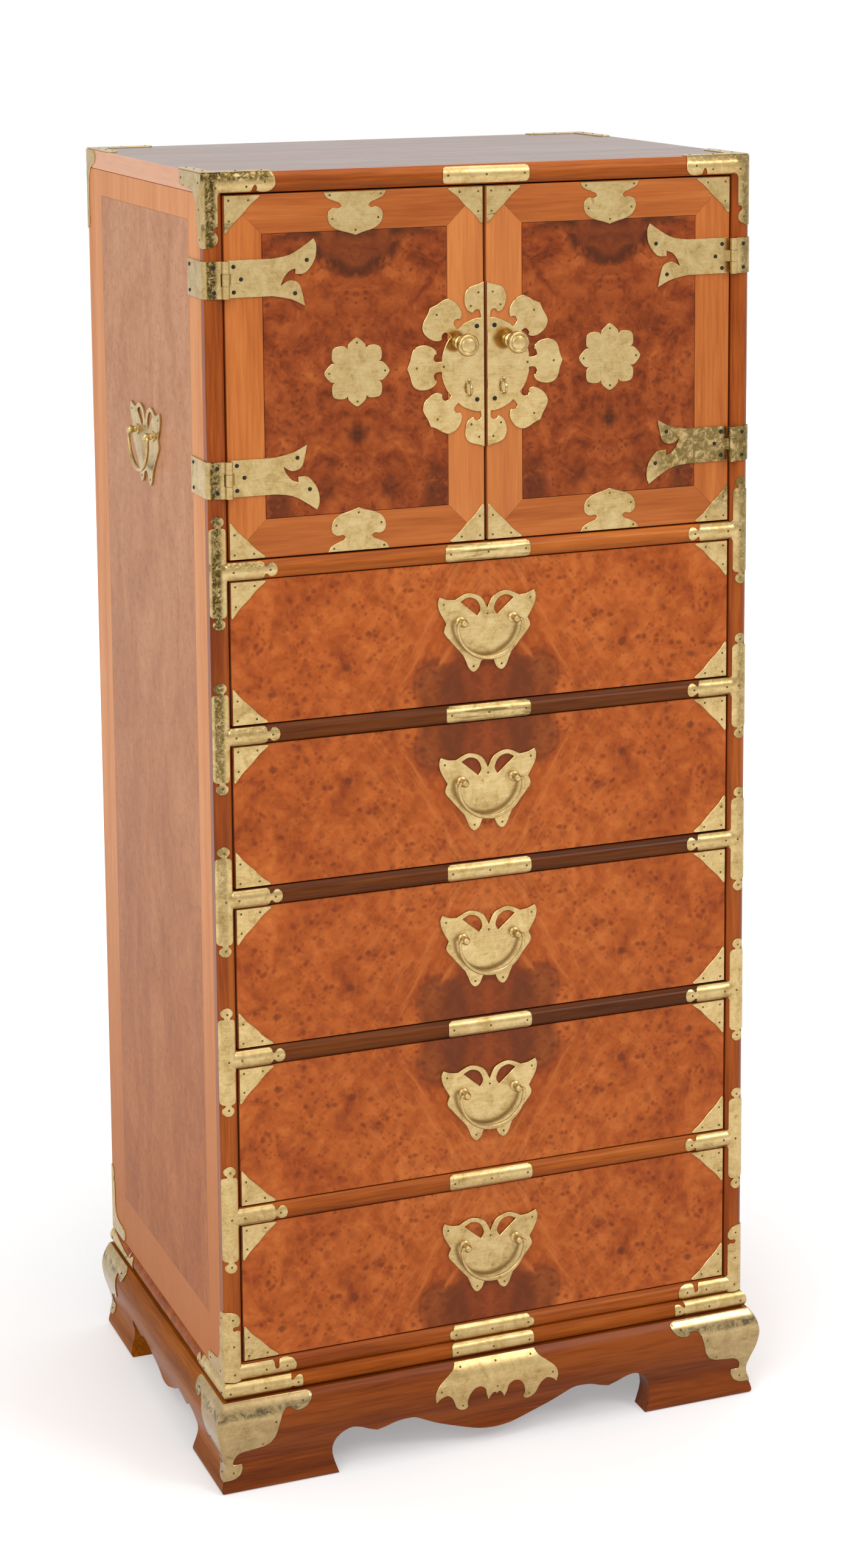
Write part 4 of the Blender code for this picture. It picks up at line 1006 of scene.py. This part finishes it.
def rail_plates():
    """A plate in the middle of every rail and of the base board."""
    bm = bmesh.new()
    for name, (middle, half) in RAILS.items():
        runs = LOW_RAIL_PLATE if name == "case_bottom" else RAIL_PLATE
        rim = [(u, v + middle) for u, v in doubled(runs, "v")]
        sheet(bm, rim, frame_skin, ([], rail_cuts(middle, half)))
        nails("case", frame_skin, RAIL_NAILS, (0, middle / MM))
    rim = [(u, 1.03 * v + BASE_MIDDLE) for u, v in doubled(RAIL_PLATE, "v")]
    sheet(bm, rim, base_front_skin, ([], rail_cuts(BASE_MIDDLE, BASE_HALF)))
    nails("case", base_front_skin, RAIL_NAILS, (0, BASE_MIDDLE / MM))
    piece("rail_plates", bm, "case", BRASS)


# Brass on the doors and drawers

def corner_triangles(bm, body, low, high):
    """Triangles in the four corners of a door or drawer front."""
    for x, along in ((low[0] + INSET, 1), (high[0] - INSET, -1)):
        for z, up in ((low[2] + INSET, 1), (high[2] - INSET, -1)):
            sheet(bm, [(x + along * u, z + up * v) for u, v in outline(TRIANGLE)], face_skin)
            nails(body, face_skin, ((4.4, 4.4), (22.5, 4.6), (4.6, 22.5)), (x / MM, z / MM), (along, up))


def medallion(bm, body, x, z):
    """A flower with eight petals, pointed and broad by turns."""
    rim = []
    for n in range(8):
        half = [tuple(p) for p in smooth_line(PETALS[n % 2], 3)]
        petal = [*half, PETALS[n % 2][-1], *((-a, r) for a, r in reversed(half[1:]))]
        rim += [(math.radians(a + 45 * n), r * MM) for a, r in petal]
    sheet(bm, [(x + r * math.cos(a), z + r * math.sin(a)) for a, r in rim], face_skin)
    nails(body, face_skin, ((26.5, 0), (0, 26.5), (-26.5, 0), (0, -26.5)), (x / MM, z / MM))


def door_mounts():
    """Cloud plates, a flower and triangles on each door."""
    heads = (-24, 3), (24, 3), (-21.5, 24), (21.5, 24), (0, 34.5)
    for side, sign in SIDES.items():
        bm, body = bmesh.new(), f"{side}_door"
        low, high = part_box(f"{side}_door_frame")
        middle = sign * DOOR_CENTRE
        corner_triangles(bm, body, low, high)
        medallion(bm, body, middle, DOOR_MIDDLE)
        for z, up in ((low[2] + INSET, 1), (high[2] - INSET, -1)):
            sheet(bm, [(middle + u, z + up * v) for u, v in doubled(CLOUD, "u")], face_skin)
            nails(body, face_skin, heads, (middle / MM, z / MM), (1, up))
        piece(f"{side}_door_mounts", bm, body, BRASS)


def drawer_mounts():
    """Triangles on every drawer front."""
    for n in DRAWERS:
        bm = bmesh.new()
        corner_triangles(bm, f"drawer_{n}", *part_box(f"drawer_{n}_front"))
        piece(f"drawer_{n}_mounts", bm, f"drawer_{n}", BRASS)


def hinge_nails():
    """Black nails in the hinge straps and leaves."""
    strap = (9.2, 10.8), (16, -0.5), (9.2, -11.6), (77, 14), (65.7, -15)
    leaf = (257.4, 11), (257.4, -11), (301, 11.5), (301, -11.5)
    for side, sign in SIDES.items():
        for end, up in (("upper", 1), ("lower", -1)):
            low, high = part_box(f"{side}_{end}_hinge_leaf")
            z = (low[2] + high[2]) / 2 / MM
            pin = sign * (INNER_HALF / MM - 1)
            nails(f"{side}_door", face_skin, strap, (pin, z), (-sign, up), HINGE_THICK, 2.0, "black")
            nails("case", frame_skin, leaf, (0, z), (sign, 1), HINGE_THICK, 1.9, "black")


def lock_rim():
    """The round lock plate with its eight cloud lobes."""
    runs = [[(LOCK_RADIUS + r, t) for r, t in run] for run in LOBE]
    rising = [tuple(p) for run in runs for p in smooth_line(run, 4)] + [runs[-1][-1]]
    lobe = [(r, -t) for r, t in rising] + [(r, t) for r, t in reversed(rising[:-1])]
    edge = math.atan2(rising[0][1], rising[0][0])
    turn = math.pi / 4
    rim = [edge + (turn - 2 * edge) * k / 7 for k in range(1, 7)]
    arc = [(LOCK_RADIUS * math.cos(a), LOCK_RADIUS * math.sin(a)) for a in rim]
    points = []
    for n in range(8):
        c, s = math.cos(n * turn), math.sin(n * turn)
        points += [((c * x - s * z) * MM, (s * x + c * z) * MM) for x, z in lobe + arc]
    return points


def lock_and_knobs():
    """Half of the lock plate with its eye and nails, and a knob, on each door."""
    collar = (0, 0), (2.6, 0), (2.6, 0.5), (1.9, 1.0), (0, 1.1)
    heads = (7, 66), (14.5, 54), (7, -66), (14.5, -54), (67, 0), (41, 0), (47.5, 47.5), (47.5, -47.5)
    for side, sign in SIDES.items():
        body = f"{side}_door"
        bm = bmesh.new()
        rim = [(x, z + DOOR_MIDDLE) for x, z in lock_rim()]
        sheet(bm, rim, face_skin, thick=LOCK_THICK, keep=(sign * 1.5 * MM, sign))
        piece(f"{side}_lock", bm, body, LOCK_BRASS, [f"{side}_lock_plate"])
        bm = bmesh.new()
        bow = [math.pi * k / 10 for k in range(11)]
        eye = [(-1.4 * MM - 8 * MM * math.sin(a), -STAPLE_DROP - STAPLE_HALF * math.cos(a)) for a in bow]
        wire(bm, [(Vector((sign * STAPLE_X, FACE + y, DOOR_MIDDLE + z)), 1.0) for y, z in eye], 1.15 * MM)
        for z in (-STAPLE_DROP - STAPLE_HALF, -STAPLE_DROP + STAPLE_HALF):
            turn_on_lathe(bm, collar, (sign * STAPLE_X, FACE - LOCK_THICK, DOOR_MIDDLE + z), 14)
        piece(f"{side}_lock_eye", bm, body, DULL_BRASS)
        bm = bmesh.new()
        low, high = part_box(f"{side}_knob")
        turn_on_lathe(bm, KNOB, ((low[0] + high[0]) / 2, high[1], (low[2] + high[2]) / 2), 32)
        piece(f"{side}_turned_knob", bm, body, BRASS, [f"{side}_knob"])
        at, way, lift = (0, DOOR_MIDDLE / MM), (sign, 1), LOCK_THICK + 0.1 * MM
        nails(body, face_skin, ((8.6, 35.5), (8.6, -31.5)), at, way, lift, 2.3, "black")
        nails(body, face_skin, heads, at, way, lift)


def bail_route():
    """A bail about its axis: ends that turn into the posts and a round hanging grip."""
    half = [(24.3, 0, 1.0), (28.4, 0, 1.0), (30.6, -0.3, 1.0), (31.7, -1.4, 1.0)]
    for k in range(15):
        a = math.pi / 2 * k / 14
        share = math.sin(a)
        half.append((32 * math.cos(a), -3.2 - 30.8 * share, 1.0 + 0.4 * share**2))
    route = half + [(-x, z, r) for x, z, r in reversed(half[:-1])]
    return [(Vector((x, 0, z)) * MM, r) for x, z, r in route]


def pulls():
    """Butterfly pulls on the drawers and the sides: a pierced plate, two posts, nails and a bail."""
    places = {f"drawer_{n}": (f"drawer_{n}", 0.0) for n in DRAWERS}
    places.update({f"{side}_side": ("case", sign * math.pi / 2) for side, sign in SIDES.items()})
    heads = (43, 28.4), (-43, 28.4), (0, 17), (14, -31.5), (-14, -31.5)
    feeler = outline(FEELER)
    holes = [feeler, [(-u, v) for u, v in feeler]]
    for name, (body, turn) in places.items():
        low, high = (Vector(c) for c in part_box(f"{name}_pull_plate"))
        back = (low + high) / 2
        if turn:
            back.x = math.copysign(min(abs(low.x), abs(high.x)), back.x)
        else:
            back.y = high.y
        move = Matrix.Translation(back) @ Matrix.Rotation(turn, 4, "Z")
        bm = bmesh.new()
        sheet(bm, doubled(BUTTERFLY, "u"), plate_skin, thick=PULL_THICK, holes=holes, move=move)
        for sign in SIDES.values():
            posts = bmesh.new()
            turn_on_lathe(posts, POST, (sign * POST_SPREAD, -PULL_THICK, POST_RISE))
            gather(bm, posts, move)
        piece(f"{name}_butterfly", bm, body, BRASS, [f"{name}_pull_plate"])
        nails(body, plate_skin, heads, lift=PULL_THICK, move=move)
        bm = bmesh.new()
        pivot = move @ Matrix.Translation((0, -PIVOT_OUT, POST_RISE))
        wire(bm, bail_route(), 1.6 * MM, pivot)
        piece(f"{name}_ring_bail", bm, f"{name}_bail", BRASS, [f"{name}_bail"])


def drive_nails():
    """Turns each body's nails into pieces."""
    for (body, metal), box in nail_boxes.items():
        piece(f"{body}_{metal}_nails", box, body, NAILS[metal])


# Studio

ROOM_LIGHT = 0.55  # of the white room on the chest, where the camera sees 1
FLOOR_FADE = 0.3, 1.6, 0.32, 0.80  # the floor glows between these distances, from and to these levels
LAMPS = {  # place and width in metres, and watts
    "window": ((-2.1, -2.2, 2.7), 2.2, 44),
    "softbox": ((2.06, -3.18, 3.07), 1.1, 37),
    "overhead": ((0.2, -0.6, 3.2), 2.0, 22),
}
AIM = Vector((0, 0, 0.65))
CAMERA_PLACE, CAMERA_TURN = (-1.0512, -2.7375, 1.4132), (21.281, 8.842, 0.453)
CAMERA_LENS, CAMERA_SHIFT = 70.77, -0.23


def seen(tree):
    """1 for what the camera sees straight, in metal or through glass."""
    rays = tree.nodes.new("ShaderNodeLightPath").outputs
    total = rays["Is Camera Ray"]
    for kind in ("Is Glossy Ray", "Is Transmission Ray"):
        most = tree.nodes.new("ShaderNodeMath")
        most.operation = "MAXIMUM"
        tree.links.new(total, most.inputs[0])
        tree.links.new(rays[kind], most.inputs[1])
        total = most.outputs[0]
    return total


def white_room():
    """A white room that the camera sees brighter than it lights the chest."""
    world = bpy.data.worlds.new("room")
    bpy.context.scene.world = world
    world.use_nodes = True
    tree = world.node_tree
    back = tree.nodes["Background"]
    level = tree.nodes.new("ShaderNodeMapRange")
    level.inputs["To Min"].default_value = ROOM_LIGHT
    level.inputs["To Max"].default_value = 1.0
    tree.links.new(seen(tree), level.inputs["Value"])
    tree.links.new(level.outputs["Result"], back.inputs["Strength"])
    back.inputs["Color"].default_value = (1, 1, 1, 1)


def pale_floor():
    """A floor that fades into the white room."""
    bm = bmesh.new()
    bmesh.ops.create_grid(bm, x_segments=1, y_segments=1, size=6.0)
    mesh = bpy.data.meshes.new("floor")
    bm.to_mesh(mesh)
    bm.free()
    floor = bpy.data.objects.new("floor", mesh)
    bpy.context.scene.collection.objects.link(floor)
    look = Finish("pale_floor", 0.9)
    look.colour = (0.8, 0.8, 0.8, 1)
    glow = look.ranged(look.reach(look.place, (0, 0, 0)), *FLOOR_FADE)
    look.set("Emission Color", (1, 1, 1, 1))
    look.set("Emission Strength", look.times(seen(look.tree), glow))
    mesh.materials.append(look.done())


def lamp(name, at, size, watts):
    """A square soft lamp that points at the middle of the chest."""
    light = bpy.data.lights.new(name, "AREA")
    light.size = size
    light.energy = watts
    holder = bpy.data.objects.new(name, light)
    holder.location = at
    holder.rotation_euler = (AIM - Vector(at)).to_track_quat("-Z", "Y").to_euler()
    bpy.context.scene.collection.objects.link(holder)


def camera():
    """The camera of the photograph."""
    yaw, pitch, roll = (math.radians(a) for a in CAMERA_TURN)
    forward = Vector((math.sin(yaw) * math.cos(pitch), math.cos(yaw) * math.cos(pitch), -math.sin(pitch)))
    right = Vector((math.cos(yaw), -math.sin(yaw), 0))
    down = forward.cross(right)
    right, down = (
        math.cos(roll) * right + math.sin(roll) * down,
        math.cos(roll) * down - math.sin(roll) * right,
    )
    lens = bpy.data.cameras.new("camera")
    lens.sensor_width = 36
    lens.lens = CAMERA_LENS
    lens.shift_y = CAMERA_SHIFT
    holder = bpy.data.objects.new("camera", lens)
    turn = Matrix((right, -down, -forward)).transposed().to_4x4()
    holder.matrix_world = Matrix.Translation(CAMERA_PLACE) @ turn
    bpy.context.scene.collection.objects.link(holder)
    bpy.context.scene.camera = holder


bpy.context.scene.view_settings.view_transform = "Standard"
white_room()
pale_floor()
for name, setting in LAMPS.items():
    lamp(name, *setting)
camera()
dress_solids()
t_brackets()
corner_brackets()
base_mounts()
rail_plates()
door_mounts()
drawer_mounts()
hinge_nails()
lock_and_knobs()
pulls()
drive_nails()
